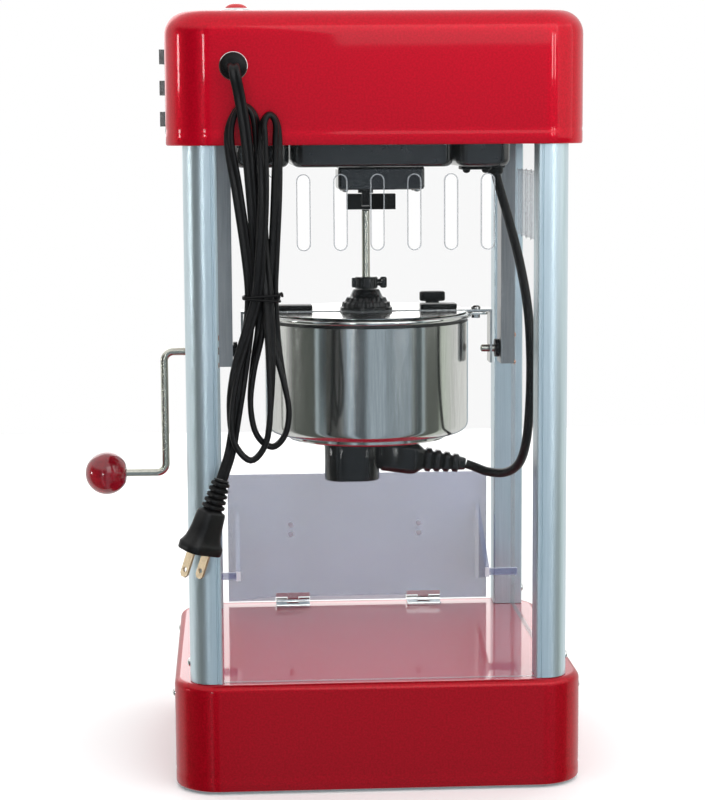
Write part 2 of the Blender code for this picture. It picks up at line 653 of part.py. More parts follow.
def make_hinge(side, centre, swing):
    """Two outer knuckles and the pin on the deck's leaf, and the middle knuckle on the door's leaf."""
    hole, pin = 1.3 * MM, 0.9 * MM
    knuckle = DOOR_HINGE_WIDTH / 3
    start, end = centre - DOOR_HINGE_WIDTH / 2, centre + DOOR_HINGE_WIDTH / 2
    axis = (0, DOOR_AXIS_Y, DOOR_AXIS_Z)
    leaf = box((start, DOOR_AXIS_Y + 1.6 * MM, DECK_TOP + GAP),
               (end, DOOR_AXIS_Y + 13 * MM, DECK_TOP + 1.3 * MM))
    fixed = add(f"door_hinge_{side}", leaf, bright_steel(f"door_hinge_{side}_chrome", 0.1))
    for x0, x1 in ((start, start + knuckle - GAP), (end - knuckle + GAP, end)):
        boolean(fixed, rod(HINGE_BARREL, x0, x1, 14), axis, "UNION")
        lug = box((x0, DOOR_AXIS_Y, DECK_TOP + GAP), (x1, DOOR_AXIS_Y + 4 * MM, DECK_TOP + 2.2 * MM))
        boolean(fixed, lug, (0, 0, 0), "UNION")
    boolean(fixed, rod(pin, start + MM, end - MM, 12), axis, "UNION")

    near = DOOR_AXIS_Y - 0.2 * MM
    far = near + 1.1 * MM
    bottom = DOOR_AXIS_Z + HINGE_BARREL + 0.7 * MM
    moving = add(f"door_leaf_{side}", box((start, near, bottom), (end, far, bottom + 3 * MM)),
                 bright_steel(f"door_leaf_{side}_chrome", 0.1), parent=swing)
    x0, x1 = start + knuckle, end - knuckle
    boolean(moving, rod(HINGE_BARREL, x0, x1, 14), axis, "UNION")
    neck = box((x0, near, DOOR_AXIS_Z + MM), (x1, far, bottom + MM))
    boolean(moving, neck, (0, 0, 0), "UNION")
    boolean(moving, rod(hole, x0 - MM, x1 + MM, 12), axis)


# Switches and pilot lamp

def make_switches():
    face = WIDTH / 2 + GAP
    plate = [rounded(24 * MM, 58 * MM, 3 * MM, z, 3) for z in (0, 1.2 * MM)]
    frame = add("switch_frame", loft(plate), black_plastic("switch_frame_plastic"),
                (face, SWITCH_Y, SWITCH_HEIGHTS[1]), turn=(math.pi / 2, 0, math.pi / 2))
    half = [(-5 * MM, 4 * MM), (2 * MM, 8.3 * MM), (8.1 * MM, 8.3 * MM)]
    saddle = [*half, (6 * MM, 0), *[(x, -y) for x, y in reversed(half)]]
    for number, z in enumerate(SWITCH_HEIGHTS, 1):
        window = box((face - 3 * MM, SWITCH_Y - 9 * MM, z - 5 * MM),
                     (face + 3 * MM, SWITCH_Y + 9 * MM, z + 5 * MM))
        boolean(frame, window, (0, 0, 0))
        axis = Vector((WIDTH / 2 - 4 * MM, SWITCH_Y, z))
        pivot = axis_at(f"rocker_{number}_axis", axis)
        add(f"rocker_{number}", prism(saddle, -4.6 * MM, 4.6 * MM, "Z"),
            black_plastic(f"rocker_{number}_plastic", 0.25), axis, pivot, (0, 0, -SWITCH_TRAVEL / 2))


def make_pilot():
    bezel = [(4 * MM, -4 * MM), (4.8 * MM, -4 * MM), (4.8 * MM, GAP), (10 * MM, GAP), (9.4 * MM, 2 * MM),
             (7.6 * MM, 2.2 * MM), (7.2 * MM, 1.2 * MM), (4 * MM, 1.2 * MM)]
    add("pilot_bezel", loft([circle(r, z, 24) for r, z in bezel], closed=True),
        bright_steel("pilot_chrome", 0.08), PILOT)
    lens = [(3.6 * MM, -3 * MM), (3.6 * MM, 1.5 * MM), (6.8 * MM, 1.5 * MM), (6.4 * MM, 3.2 * MM),
            (4.6 * MM, 4.6 * MM), (1.6 * MM, 5.4 * MM)]
    add("pilot_lens", turned(lens, 24), material("pilot_red", (0.55, 0.0, 0.01), 0.08), PILOT)


# Mains lead: gland, lead, hank, tie, tail and plug

def make_gland():
    profile = [(5.6 * MM, -4 * MM), (5.6 * MM, GAP), (8.1 * MM, GAP), (8.1 * MM, 2.2 * MM),
               (6.4 * MM, 3.4 * MM), (5 * MM, 6 * MM)]
    add("cord_gland", turned(profile, 20), black_plastic("gland_nylon"), GLAND, turn=(-math.pi / 2, 0, 0))


def hank_outline():
    """The outer line of five strands side by side, pinched in at the tie."""
    knots = [(92, 414), (78, 428.5), (65, 422), (57, 408), (58, 370), (61, 322), (61.4, 308), (60, 294),
             (54, 264), (52.6, 240), (56, 221), (66, 212), (77, 206.5), (88, 212), (93.5, 240), (88, 276),
             (81, 296), (80, 308), (81, 322), (90, 360), (94, 392)]
    return [(x * MM, z * MM) for x, z, _ in smooth([(x, z, 0) for x, z in knots], 2, closed=True)]


def make_mains_lead():
    exit_point = GLAND + Vector((0, 6 * MM + GAP, 0))
    knots = [exit_point, GLAND + Vector((0, 9.5, -0.4)) * MM, GLAND + Vector((-0.8, 13, -3)) * MM,
             GLAND + Vector((-2.2, 13.6, -8)) * MM, Vector((79.5, 129.5, 431.6)) * MM]
    tube("mains_lead", smooth(knots, 4), CORD_RADIUS, black_plastic("lead_vinyl", 0.45), 3)
    add("mains_hank", prism(hank_outline(), *HANK_Y), black_plastic("hank_vinyl", 0.45))
    make_tie()
    down = plug_direction()
    tail = [PLUG_TOP - down * reach for reach in (10.5 * MM, 7 * MM, 3.5 * MM, GAP)]
    tube("mains_tail", tail, CORD_RADIUS, black_plastic("tail_vinyl", 0.45), 3)


def make_tie():
    """A wire band round the hank's waist."""
    front, back = HANK_Y
    middle = (70.7 * MM, (front + back) / 2)
    clear, wall, half = 0.7 * MM, 1.6 * MM, 2 * MM
    width, depth = 18.6 * MM + 2 * clear, back - front + 2 * clear
    section = ((wall, TIE_Z - half), (wall, TIE_Z + half), (0, TIE_Z + half), (0, TIE_Z - half))
    rings = [rounded(width + 2 * grow, depth + 2 * grow, 2 * MM + grow, z, 3, middle) for grow, z in section]
    add("cord_tie", loft(rings, closed=True), black_plastic("tie_plastic"))


def plug_direction():
    return Vector((-math.sin(PLUG_TILT), 0, -math.cos(PLUG_TILT)))


def make_plug():
    seat = axis_at("plug_axis", PLUG_TOP)
    seat.rotation_euler = (0, PLUG_TILT, 0)
    stations = [(0, 9, 7.5), (5, 11, 8.5), (19, 12.5, 10), (21.5, 17, 12.5), (34, 20, 14), (39.5, 24, 16),
                (42, 27, 18), (PLUG_LENGTH / MM, 27, 18)]
    rings = [rounded(wide * MM, tall * MM, min(wide, tall) * 0.36 * MM, -drop * MM, 4)
             for drop, wide, tall in stations]
    body = add("plug_body", loft(rings), black_plastic("plug_vinyl", 0.45), PLUG_TOP, seat, (0, 0, PLUG_ROLL))
    body.location = (0, 0, 0)
    tip, root, half, thick = -BLADE_TIP, -(PLUG_LENGTH + GAP), 3.1 * MM, 0.75 * MM
    outline = [(-half, root), (-half, tip + 2 * MM), (-half / 2, tip), (half / 2, tip), (half, tip + 2 * MM),
               (half, root)]
    for side, centre in (("left", -BLADE_OFFSET), ("right", BLADE_OFFSET)):
        blade = add(f"plug_blade_{side}", prism(outline, centre - thick, centre + thick, "X"),
                    material(f"blade_{side}_brass", (0.8, 0.6, 0.3), 0.25, 1.0), PLUG_TOP, seat,
                    (0, 0, PLUG_ROLL))
        blade.location = (0, 0, 0)
        hole = rod(1.6 * MM, centre - 2 * MM, centre + 2 * MM, 12)
        hole.transform(Matrix.Translation((0, 0, tip + 4.6 * MM)))
        boolean(blade, hole, (0, 0, 0), turn=(0, 0, PLUG_ROLL), parent=seat)


# The heater's lead hangs from the ceiling to the connector under the kettle

def make_kettle_cord():
    knots = [(-66, 0, 186.1), (-71.5, 1.4, 184.2), (-80, 8, 181.8), (-90, 19, 183), (-97, 33, 191),
             (-100, 46, 208), (-101, 54, 234), (-101, 57, 262), (-99.5, 55, 292), (-95, 49, 322),
             (-88, 42, 352), (-82, 38, 374), (-80.5, 37, 383.4)]
    points = smooth([Vector(knot) * MM for knot in knots], 4)
    tube("kettle_cord", points, KETTLE_CORD_RADIUS, black_plastic("kettle_cord_rubber", 0.5), 2)


def make_popcorn_maker():
    clear_scene()
    make_base()
    make_posts()
    make_panels()
    make_cap()
    make_ceiling()
    make_drive()
    make_hangers()
    tilt = axis_at("kettle_axis", (0, 0, PIVOT_Z))
    make_kettle(tilt)
    make_bridge(tilt)
    make_hub(tilt)
    make_heater(tilt)
    make_connector(tilt)
    make_crank(tilt)
    make_lids(tilt)
    make_agitator(tilt)
    make_door()
    make_switches()
    make_pilot()
    make_gland()
    make_mains_lead()
    make_plug()
    make_kettle_cord()


make_popcorn_maker()
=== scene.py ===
"""Looks of the tabletop popcorn maker, seen from its rear."""

import math

import bmesh
import bpy
from mathutils import Matrix, Vector


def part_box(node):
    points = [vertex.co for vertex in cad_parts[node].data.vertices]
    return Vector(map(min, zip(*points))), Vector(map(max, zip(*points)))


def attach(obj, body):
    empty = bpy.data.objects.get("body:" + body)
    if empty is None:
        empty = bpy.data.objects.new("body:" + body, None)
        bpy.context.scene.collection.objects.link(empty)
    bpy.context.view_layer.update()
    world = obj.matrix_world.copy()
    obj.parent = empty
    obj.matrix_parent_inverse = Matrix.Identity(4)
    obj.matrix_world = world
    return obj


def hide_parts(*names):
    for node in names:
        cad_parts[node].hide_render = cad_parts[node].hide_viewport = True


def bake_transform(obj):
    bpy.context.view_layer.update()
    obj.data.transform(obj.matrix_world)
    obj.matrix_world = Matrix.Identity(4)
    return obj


MM = 0.001
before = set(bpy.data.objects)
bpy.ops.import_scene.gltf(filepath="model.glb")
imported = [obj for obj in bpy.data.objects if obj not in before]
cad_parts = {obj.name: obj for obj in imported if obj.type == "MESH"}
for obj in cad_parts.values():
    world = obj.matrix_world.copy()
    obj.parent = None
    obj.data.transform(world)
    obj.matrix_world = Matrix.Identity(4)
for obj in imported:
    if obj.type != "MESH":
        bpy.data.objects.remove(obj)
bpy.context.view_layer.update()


# Camera, light and floor

def aim_camera():
    """A long lens behind the machine, a little above its middle and looking down on it."""
    place = Vector((90.0, 1390.7, 403.5)) * MM
    yaw, pitch, roll = -0.0579, -0.124, -0.0062
    forward = Vector((math.sin(yaw) * math.cos(pitch), -math.cos(yaw) * math.cos(pitch), math.sin(pitch)))
    right = forward.cross(Vector((0, 0, 1))).normalized()
    up = right.cross(forward)
    level = Matrix((right, up, -forward)).transposed()
    data = bpy.data.cameras.new("camera")
    data.sensor_fit = "VERTICAL"
    data.sensor_height = 36.0
    data.lens = 95.5
    data.clip_start = 0.05
    camera = bpy.data.objects.new("camera", data)
    camera.matrix_world = Matrix.Translation(place) @ (level @ Matrix.Rotation(roll, 3, "Z")).to_4x4()
    bpy.context.collection.objects.link(camera)
    bpy.context.scene.camera = camera


def softbox(name, place, size, power):
    """A rectangular lamp that faces the machine's middle."""
    middle = Vector((0, 0, 0.25))
    data = bpy.data.lights.new(name, "AREA")
    data.shape = "RECTANGLE"
    data.size, data.size_y = size
    data.energy = power
    light = bpy.data.objects.new(name, data)
    light.location = place
    light.rotation_euler = (middle - Vector(place)).to_track_quat("-Z", "Y").to_euler()
    bpy.context.collection.objects.link(light)


# The studio round the machine, by compass angle from the camera's side: (turn in degrees, brightness).
SURROUND = [(-180, 0.9), (-118, 1.0), (-110, 1.1), (-100, 0.5), (-94, 0.14), (-72, 0.13), (-58, 0.09),
            (-36, 0.1), (-32, 0.24), (-27, 0.28), (-23, 0.66), (-19, 0.6), (-16, 0.14), (-6, 0.14),
            (-1, 0.55), (16, 0.56), (20, 0.38), (28, 0.42), (46, 0.45), (52, 0.24), (62, 0.22),
            (70, 0.15), (84, 0.15), (91, 0.8), (112, 0.9), (122, 1.05), (180, 0.9)]

# Bright upright strips that only the cap and the post tops mirror: (turn in degrees, half width, brightness).
STRIPS = [(-18, 2, 24), (-88, 3, 22), (31, 1.2, 20), (38, 1.2, 16)]

# Heights are the upward part of a unit direction: 0 is level and 1 is straight up.
STRIP_HEIGHTS = (-0.03, 0.08)
OVERHEAD_HEIGHTS = (0.3, 0.55)
OVERHEAD = 1.25


def link_math(tree, operation, first, second=None):
    node = tree.nodes.new("ShaderNodeMath")
    node.operation = operation
    for socket, value in zip(node.inputs, (first, second)):
        if isinstance(value, (int, float)):
            socket.default_value = value
        elif value is not None:
            tree.links.new(value, socket)
    return node.outputs["Value"]


def fill_ramp(node, stops):
    line = node.color_ramp
    while len(line.elements) < len(stops):
        line.elements.new(0.5)
    for element, (at, colour) in zip(line.elements, stops):
        element.position = at
        element.color = (*colour, 1.0)


def tinted(angle, level):
    """Cool where the machine faces the camera, slightly green at the sides, neutral behind."""
    if -30 < angle < 50:
        return (level * 0.86, level * 1.02, level * 1.16)
    if 50 <= abs(angle) < 95:
        return (level * 0.98, level * 1.06, level * 0.94)
    return (level, level, level * 0.98)


def make_world():
    """White where the camera looks past the machine, and a room of pale and dark screens in reflections."""
    world = bpy.data.worlds.new("studio")
    bpy.context.scene.world = world
    world.use_nodes = True
    tree = world.node_tree
    place = tree.nodes.new("ShaderNodeTexCoord")
    parts = tree.nodes.new("ShaderNodeSeparateXYZ")
    tree.links.new(place.outputs["Generated"], parts.inputs["Vector"])
    x, y, z = (parts.outputs[axis] for axis in "XYZ")
    turn = link_math(tree, "ARCTAN2", link_math(tree, "MULTIPLY", x, -1.0), y)
    share = link_math(tree, "MULTIPLY_ADD", turn, 0.5 / math.pi)
    share.node.inputs[2].default_value = 0.5
    screens = tree.nodes.new("ShaderNodeValToRGB")
    fill_ramp(screens, [((angle + 180) / 360, tinted(angle, level)) for angle, level in SURROUND])
    tree.links.new(share, screens.inputs["Fac"])
    glow = None
    for angle, half, brightness in STRIPS:
        away = link_math(tree, "ABSOLUTE", link_math(tree, "SUBTRACT", turn, math.radians(angle)))
        lit = link_math(tree, "MULTIPLY", link_math(tree, "LESS_THAN", away, math.radians(half)), brightness)
        glow = lit if glow is None else link_math(tree, "ADD", glow, lit)
    glow = link_math(tree, "MULTIPLY", glow, link_math(tree, "GREATER_THAN", z, STRIP_HEIGHTS[0]))
    glow = link_math(tree, "MULTIPLY", glow, link_math(tree, "LESS_THAN", z, STRIP_HEIGHTS[1]))
    both = tree.nodes.new("ShaderNodeMix")
    both.data_type = "RGBA"
    both.blend_type = "ADD"
    both.inputs["Factor"].default_value = 1.0
    tree.links.new(screens.outputs["Color"], both.inputs["A"])
    tree.links.new(glow, both.inputs["B"])
    height = tree.nodes.new("ShaderNodeMapRange")
    height.interpolation_type = "SMOOTHSTEP"
    height.inputs["From Min"].default_value, height.inputs["From Max"].default_value = OVERHEAD_HEIGHTS
    tree.links.new(z, height.inputs["Value"])
    room = tree.nodes.new("ShaderNodeMix")
    room.data_type = "RGBA"
    tree.links.new(height.outputs["Result"], room.inputs["Factor"])
    tree.links.new(both.outputs["Result"], room.inputs["A"])
    room.inputs["B"].default_value = (OVERHEAD, OVERHEAD, OVERHEAD, 1.0)
    path = tree.nodes.new("ShaderNodeLightPath")
    seen = tree.nodes.new("ShaderNodeMix")
    seen.data_type = "RGBA"
    tree.links.new(path.outputs["Is Camera Ray"], seen.inputs["Factor"])
    tree.links.new(room.outputs["Result"], seen.inputs["A"])
    seen.inputs["B"].default_value = (1.0, 1.0, 1.0, 1.0)
    tree.links.new(seen.outputs["Result"], tree.nodes["Background"].inputs["Color"])


def make_floor():
    """White paper that catches shadows, and that polished pieces don't mirror."""
    reach = 1.5
    mesh = bpy.data.meshes.new("floor")
    mesh.from_pydata([(-reach, -reach, 0), (reach, -reach, 0), (reach, reach, 0), (-reach, reach, 0)], [],
                     [(0, 1, 2, 3)])
    floor = bpy.data.objects.new("floor", mesh)
    bpy.context.collection.objects.link(floor)
    paper = new_material("floor_paper")
    principled(paper, (0.95, 0.95, 0.95), 0.9)
    mesh.materials.append(paper)
    floor.visible_glossy = False


def set_studio():
    bpy.context.scene.view_settings.view_transform = "Standard"
    make_world()
    make_floor()
    softbox("key_light", (-0.6, 1.4, 1.0), (1.4, 1.1), 8)
    softbox("side_light", (-1.4, 0.6, 0.7), (1.3, 1.1), 5)
    softbox("front_light", (0.3, -1.4, 0.9), (1.5, 1.1), 7)


# Node helpers for materials

def new_material(name):
    made = bpy.data.materials.new(name)
    made.use_nodes = True
    return made


def principled(made, colour, roughness, metallic=0.0, **more):
    shader = made.node_tree.nodes["Principled BSDF"]
    shader.inputs["Base Color"].default_value = (*colour, 1.0)
    shader.inputs["Roughness"].default_value = roughness
    shader.inputs["Metallic"].default_value = metallic
    for key, value in more.items():
        shader.inputs[key.replace("_", " ")].default_value = value
    return shader


def noise(made, scale, stretch=(1, 1, 1), detail=3.0, roughness=0.55):
    """Noise in the machine's own space, stretched along an axis for a grain."""
    tree = made.node_tree
    place = tree.nodes.new("ShaderNodeTexCoord")
    mapping = tree.nodes.new("ShaderNodeMapping")
    mapping.inputs["Scale"].default_value = stretch
    texture = tree.nodes.new("ShaderNodeTexNoise")
    texture.inputs["Scale"].default_value = scale
    texture.inputs["Detail"].default_value = detail
    texture.inputs["Roughness"].default_value = roughness
    tree.links.new(place.outputs["Object"], mapping.inputs["Vector"])
    tree.links.new(mapping.outputs["Vector"], texture.inputs["Vector"])
    return texture.outputs["Fac"]


def ramp(made, value, stops):
    node = made.node_tree.nodes.new("ShaderNodeValToRGB")
    made.node_tree.links.new(value, node.inputs["Fac"])
    fill_ramp(node, stops)
    return node.outputs["Color"]


def spread(made, value, low, high):
    node = made.node_tree.nodes.new("ShaderNodeMapRange")
    node.inputs["To Min"].default_value = low
    node.inputs["To Max"].default_value = high
    made.node_tree.links.new(value, node.inputs["Value"])
    return node.outputs["Result"]


def vary_colour(made, value, low, high):
    shader = made.node_tree.nodes["Principled BSDF"]
    made.node_tree.links.new(ramp(made, value, [(0.35, low), (0.65, high)]), shader.inputs["Base Color"])


def vary_roughness(made, value, low, high):
    shader = made.node_tree.nodes["Principled BSDF"]
    made.node_tree.links.new(spread(made, value, low, high), shader.inputs["Roughness"])


def bump(made, value):
    """A faint unevenness, far finer than any shape."""
    tree = made.node_tree
    node = tree.nodes.new("ShaderNodeBump")
    node.inputs["Strength"].default_value = 0.2
    node.inputs["Distance"].default_value = 0.00004
    tree.links.new(value, node.inputs["Height"])
    tree.links.new(node.outputs["Normal"], tree.nodes["Principled BSDF"].inputs["Normal"])


# Materials

def red_enamel(name, deep, bright, coat, metallic=0.45):
    """A red enamel with fine metal flakes under a clear coat."""
    made = new_material(name)
    principled(made, bright, 0.36, metallic, Coat_Weight=coat, Coat_Roughness=0.05, Specular_IOR_Level=0.05)
    vary_colour(made, noise(made, 800, detail=2), deep, bright)
    vary_roughness(made, noise(made, 8), 0.32, 0.42)
    bump(made, noise(made, 260, detail=2))
    return made


def anodised():
    """Cool extruded aluminium, with a faint grain up the posts."""
    made = new_material("anodised_aluminium")
    principled(made, (0.54, 0.64, 0.69), 0.36, 0.92)
    grain = noise(made, 60, (14, 14, 0.35), 4)
    vary_colour(made, grain, (0.51, 0.61, 0.66), (0.57, 0.67, 0.72))
    vary_roughness(made, noise(made, 90, (10, 10, 0.3)), 0.32, 0.4)
    return made


def steel(name, colour, low, high, stretch=(12, 12, 0.5), scale=70):
    """Bare or plated metal whose roughness runs from low to high."""
    made = new_material(name)
    principled(made, colour, low, 1.0)
    dark = tuple(0.86 * part for part in colour)
    vary_colour(made, noise(made, scale, stretch, 4), dark, colour)
    vary_roughness(made, noise(made, scale * 1.3, stretch, 4), low, high)
    return made


def moulded(name, shade=0.004, low=0.3, high=0.42, grain=500, gloss=0.15):
    """Dark plastic or rubber whose roughness runs from low to high."""
    made = new_material(name)
    principled(made, (shade, shade, shade * 1.05), low, Specular_IOR_Level=gloss)
    vary_colour(made, noise(made, grain), (shade * 0.8,) * 3, (shade * 1.4, shade * 1.4, shade * 1.5))
    vary_roughness(made, noise(made, grain * 0.4), low, high)
    bump(made, noise(made, grain * 2))
    return made


def see_through(name, colour, alpha, roughness=0.04):
    """Clear or smoked sheet, as a mostly transparent surface without refraction."""
    made = new_material(name)
    principled(made, colour, roughness, 0.0, Alpha=alpha)
    vary_colour(made, noise(made, 9), tuple(0.9 * part for part in colour), colour)
    vary_roughness(made, noise(made, 30), roughness, roughness + 0.05)
    return made


def glossy(name, low, high, roughness=0.1):
    """Polished plastic under a thin coat, between two colours."""
    made = new_material(name)
    principled(made, high, roughness, 0.0, Coat_Weight=0.4, Coat_Roughness=0.03)
    vary_colour(made, noise(made, 120), low, high)
    vary_roughness(made, noise(made, 60), roughness, roughness + 0.08)
    return made


def make_materials():
    return {
        "cap_red": red_enamel("cap_red_enamel", (0.41, 0.0, 0.01), (0.52, 0.0, 0.014), 0.4),
        # The base's red is a darker copy of the cap's red enamel: painted shade for the less lit base.
        "base_red_shaded": red_enamel("base_shaded_red_enamel", (0.27, 0.0, 0.005), (0.385, 0.0, 0.009), 0.35),
        # The deck red is a lighter, pinker copy of the same enamel for the base's top: painted light.
        "deck_red_lit": red_enamel("deck_lit_red_enamel", (0.36, 0.004, 0.02), (0.5, 0.008, 0.035), 1.0, 0.1),
        "aluminium": anodised(),
        "kettle": steel("kettle_steel", (0.64, 0.65, 0.63), 0.08, 0.15),
        # Near-black steel for the faces round the kettle's neck: painted shade in the crease under the rim.
        "seam": steel("seam_shadow", (0.06, 0.06, 0.06), 0.3, 0.4),
        "strip": steel("strip_steel", (0.55, 0.55, 0.54), 0.2, 0.32),
        "zinc": steel("zinc_steel", (0.52, 0.52, 0.46), 0.16, 0.3, (4, 4, 4), 160),
        "hanger": steel("hanger_steel", (0.36, 0.37, 0.38), 0.3, 0.45),
        "chrome": steel("chrome_plate", (0.72, 0.72, 0.72), 0.05, 0.1, (3, 3, 3), 120),
        "copper": steel("copper_screw", (0.5, 0.26, 0.16), 0.2, 0.35, (3, 3, 3), 200),
        "brass": steel("blade_brass", (0.62, 0.5, 0.34), 0.34, 0.46, (3, 3, 3), 300),
        "gloss_black": moulded("gloss_black_plastic", 0.014, 0.06, 0.14, 120, 0.7),
        "black": moulded("matte_black_plastic"),
        "hub": moulded("glossy_phenolic", 0.005, 0.14, 0.24, 300, 0.4),
        "rocker": moulded("rocker_plastic", 0.05, 0.12, 0.2, 300, 0.5),
        "rubber": moulded("black_vinyl", 0.004, 0.3, 0.4, 700, 0.2),
        "foot": moulded("foot_rubber", 0.02, 0.6, 0.75, 300),
        "clear": see_through("clear_acrylic", (0.08, 0.09, 0.09), 0.035),
        "edge": see_through("acrylic_edge", (0.5, 0.55, 0.58), 0.4, 0.15),
        "rim": see_through("moulded_rim", (0.4, 0.42, 0.44), 0.42, 0.12),
        "door": see_through("smoked_acrylic", (0.2, 0.24, 0.42), 0.54, 0.1),
        "door_edge": see_through("door_edge", (0.7, 0.72, 0.82), 0.7, 0.2),
        "knob": glossy("knob_red", (0.16, 0.002, 0.008), (0.26, 0.004, 0.012)),
        "lens": glossy("lens_red", (0.5, 0.0, 0.006), (0.62, 0.004, 0.012), 0.06),
    }


# Mesh builders, in the machine's own frame

def skin(rings, closed=False):
    """A surface over rings of equally many points. It has end caps, or joins up with itself if closed."""
    mesh = bpy.data.meshes.new("skin")
    work = bmesh.new()
    rows = [[work.verts.new(point) for point in ring] for ring in rings]
    pairs = list(zip(rows, rows[1:]))
    if closed:
        pairs.append((rows[-1], rows[0]))
    for low, high in pairs:
        for i, start in enumerate(low):
            j = (i + 1) % len(low)
            work.faces.new((start, low[j], high[j], high[i]))
    if not closed:
        work.faces.new(list(reversed(rows[0])))
        work.faces.new(rows[-1])
    bmesh.ops.recalc_face_normals(work, faces=work.faces)
    work.to_mesh(mesh)
    work.free()
    return mesh


def circle(radius, z, steps):
    turns = [2 * math.pi * i / steps for i in range(steps)]
    return [Vector((radius * math.cos(a), radius * math.sin(a), z)) for a in turns]


def rounded(width, depth, radius, z, steps, centre=(0, 0)):
    """A rectangle with rounded corners, of so many steps each."""
    points = []
    for corner, (sx, sy) in enumerate(((1, 1), (-1, 1), (-1, -1), (1, -1))):
        cx = centre[0] + sx * (width / 2 - radius)
        cy = centre[1] + sy * (depth / 2 - radius)
        for i in range(steps + 1):
            angle = math.pi / 2 * (corner + i / steps)
            points.append(Vector((cx + radius * math.cos(angle), cy + radius * math.sin(angle), z)))
    return points


def quarter(radius, steps):
    """(inset, drop) pairs round an edge, from the flat top to the side."""
    angles = [math.pi / 2 * i / steps for i in range(steps + 1)]
    return [(radius * (1 - math.sin(a)), radius * (1 - math.cos(a))) for a in angles]


def arc(centre, radius, first, last, steps):
    """Points along a circle, from the first to the last angle in degrees."""
    angles = [math.radians(first + (last - first) * i / steps) for i in range(steps + 1)]
    return [(centre[0] + radius * math.cos(a), centre[1] + radius * math.sin(a)) for a in angles]


def smooth(points, parts):
    """A Catmull-Rom curve through the points, with so many parts between each two."""
    last = len(points) - 1
    curve = []
    for i in range(last):
        a, b, c, d = (points[max(0, min(last, i + k))] for k in (-1, 0, 1, 2))
        for step in range(parts):
            t = step / parts
            curve.append(0.5 * (2 * b + (c - a) * t + (2 * a - 5 * b + 4 * c - d) * t * t
                                + (3 * b - a - 3 * c + d) * t ** 3))
    curve.append(points[-1])
    return curve


def add(name, mesh, finish, body, replaces=(), sharp=32):
    """A piece that rides on a body, in place of the CAD nodes that it hides."""
    piece = bpy.data.objects.new(name, mesh)
    bpy.context.collection.objects.link(piece)
    if not mesh.materials:
        mesh.materials.append(finish)
    mesh.shade_smooth()
    mesh.set_sharp_from_angle(angle=math.radians(sharp))
    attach(piece, body)
    if replaces:
        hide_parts(*replaces)
    return piece


def turned(profile, steps=48, closed=False):
    """A shape turned about Z from (radius, z) pairs."""
    return skin([circle(radius, z, steps) for radius, z in profile], closed)


def in_mm(pairs):
    return [(first * MM, second * MM) for first, second in pairs]


def flat_centre(low, high):
    return (low[0] + high[0]) / 2, (low[1] + high[1]) / 2


def pillow(width, depth, low, high, corner, edge, centre=(0, 0)):
    """A block with rounded corners and softened top and bottom edges."""
    rings = []
    bevel = edge * 0.3
    for inset, z in ((edge, low), (bevel, low + bevel), (0, low + edge), (0, high - edge),
                     (bevel, high - bevel), (edge, high)):
        rings.append(rounded(width - 2 * inset, depth - 2 * inset, corner, z, 8, centre))
    return skin(rings)


def dome(radius, height, steps=20):
    """A domed screw head on the XY plane."""
    rim, tip = 0.4 * MM, 0.05 * MM
    angles = [math.pi / 2 * i / 5 for i in range(6)]
    crown = [(max(radius * math.cos(a), tip), rim + height * math.sin(a)) for a in angles]
    return turned([(radius, 0)] + crown, steps)


def joined(meshes):
    """Several meshes as one."""
    work = bmesh.new()
    for mesh in meshes:
        work.from_mesh(mesh)
    whole = bpy.data.meshes.new("joined")
    work.to_mesh(whole)
    work.free()
    return whole


def placed(mesh, place, turn=(0, 0, 0)):
    """A copy of the mesh, turned about X, then Y, then Z, at a place in mm."""
    copy = mesh.copy()
    about_x, about_y, about_z = (Matrix.Rotation(angle, 4, axis) for angle, axis in zip(turn, "XYZ"))
    copy.transform(Matrix.Translation(Vector(place) * MM) @ (about_z @ about_y @ about_x))
    return copy


# Covers, posts and walls

def cover_rings(low, high, rounding, sheet, lip):
    """A pressed cover, closed above and open below, with a faint crease above its softened lower edge."""
    width, depth = high[0] - low[0], high[1] - low[1]
    top, bottom, radius = high[2], low[2], 28 * MM

    def ring(inset, z):
        return rounded(width - 2 * inset, depth - 2 * inset, radius - inset, z, 20)

    outside = [ring(inset, top - drop) for inset, drop in quarter(rounding, 12)]
    outside = [ring(rounding * 1.5, top)] + outside
    crease = 9 * MM
    skirt = [ring(0, top - rounding - 1.5 * MM), ring(0, bottom + crease + 2 * MM),
             ring(0.25 * MM, bottom + crease), ring(0, bottom + crease - 2 * MM), ring(0, bottom + lip),
             ring(0.3 * MM, bottom + 0.4 * MM), ring(0.8 * MM, bottom)]
    inner = [ring(inset + sheet, top - sheet - drop) for inset, drop in quarter(rounding - sheet, 4)]
    return outside + skirt + [ring(sheet, bottom)] + inner[::-1]


LEVEL_FACE = 0.97  # the upward share of the normal from which a face counts as level


def make_covers(finish):
    for node, name, rounding, red in (("cap_shell", "cap_cover", 14 * MM, "cap_red"),
                                      ("base_shell", "base_cover", 4.5 * MM, "base_red_shaded")):
        low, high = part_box(node)
        mesh = skin(cover_rings(low, high, rounding, 1.6 * MM, 1.2 * MM))
        mesh.materials.append(finish[red])
        # Faces that look up take the lighter deck red: painted light on the base's top.
        if node == "base_shell":
            mesh.materials.append(finish["deck_red_lit"])
            for face in mesh.polygons:
                face.material_index = 1 if face.normal.z > LEVEL_FACE else 0
        add(name, mesh, finish[red], "housing", (node,), sharp=40)


def post_outline(size):
    """The extrusion's section from its inner corner: a big outer round, and two grooves near the walls."""
    radius, nick, groove = 14 * MM, 0.6 * MM, 0.5 * MM
    start = size - radius
    outline = [(nick, 0), (size - nick, 0), (size, nick), (size, 2 * MM), (size - groove, 2.4 * MM),
               (size - groove, 3 * MM), (size, 3.4 * MM)]
    outline += arc((start, start), radius, 0, 90, 20)
    outline += [(3.4 * MM, size), (3 * MM, size - groove), (2.4 * MM, size - groove), (2 * MM, size),
                (nick, size), (0, size - nick), (0, nick)]
    return outline


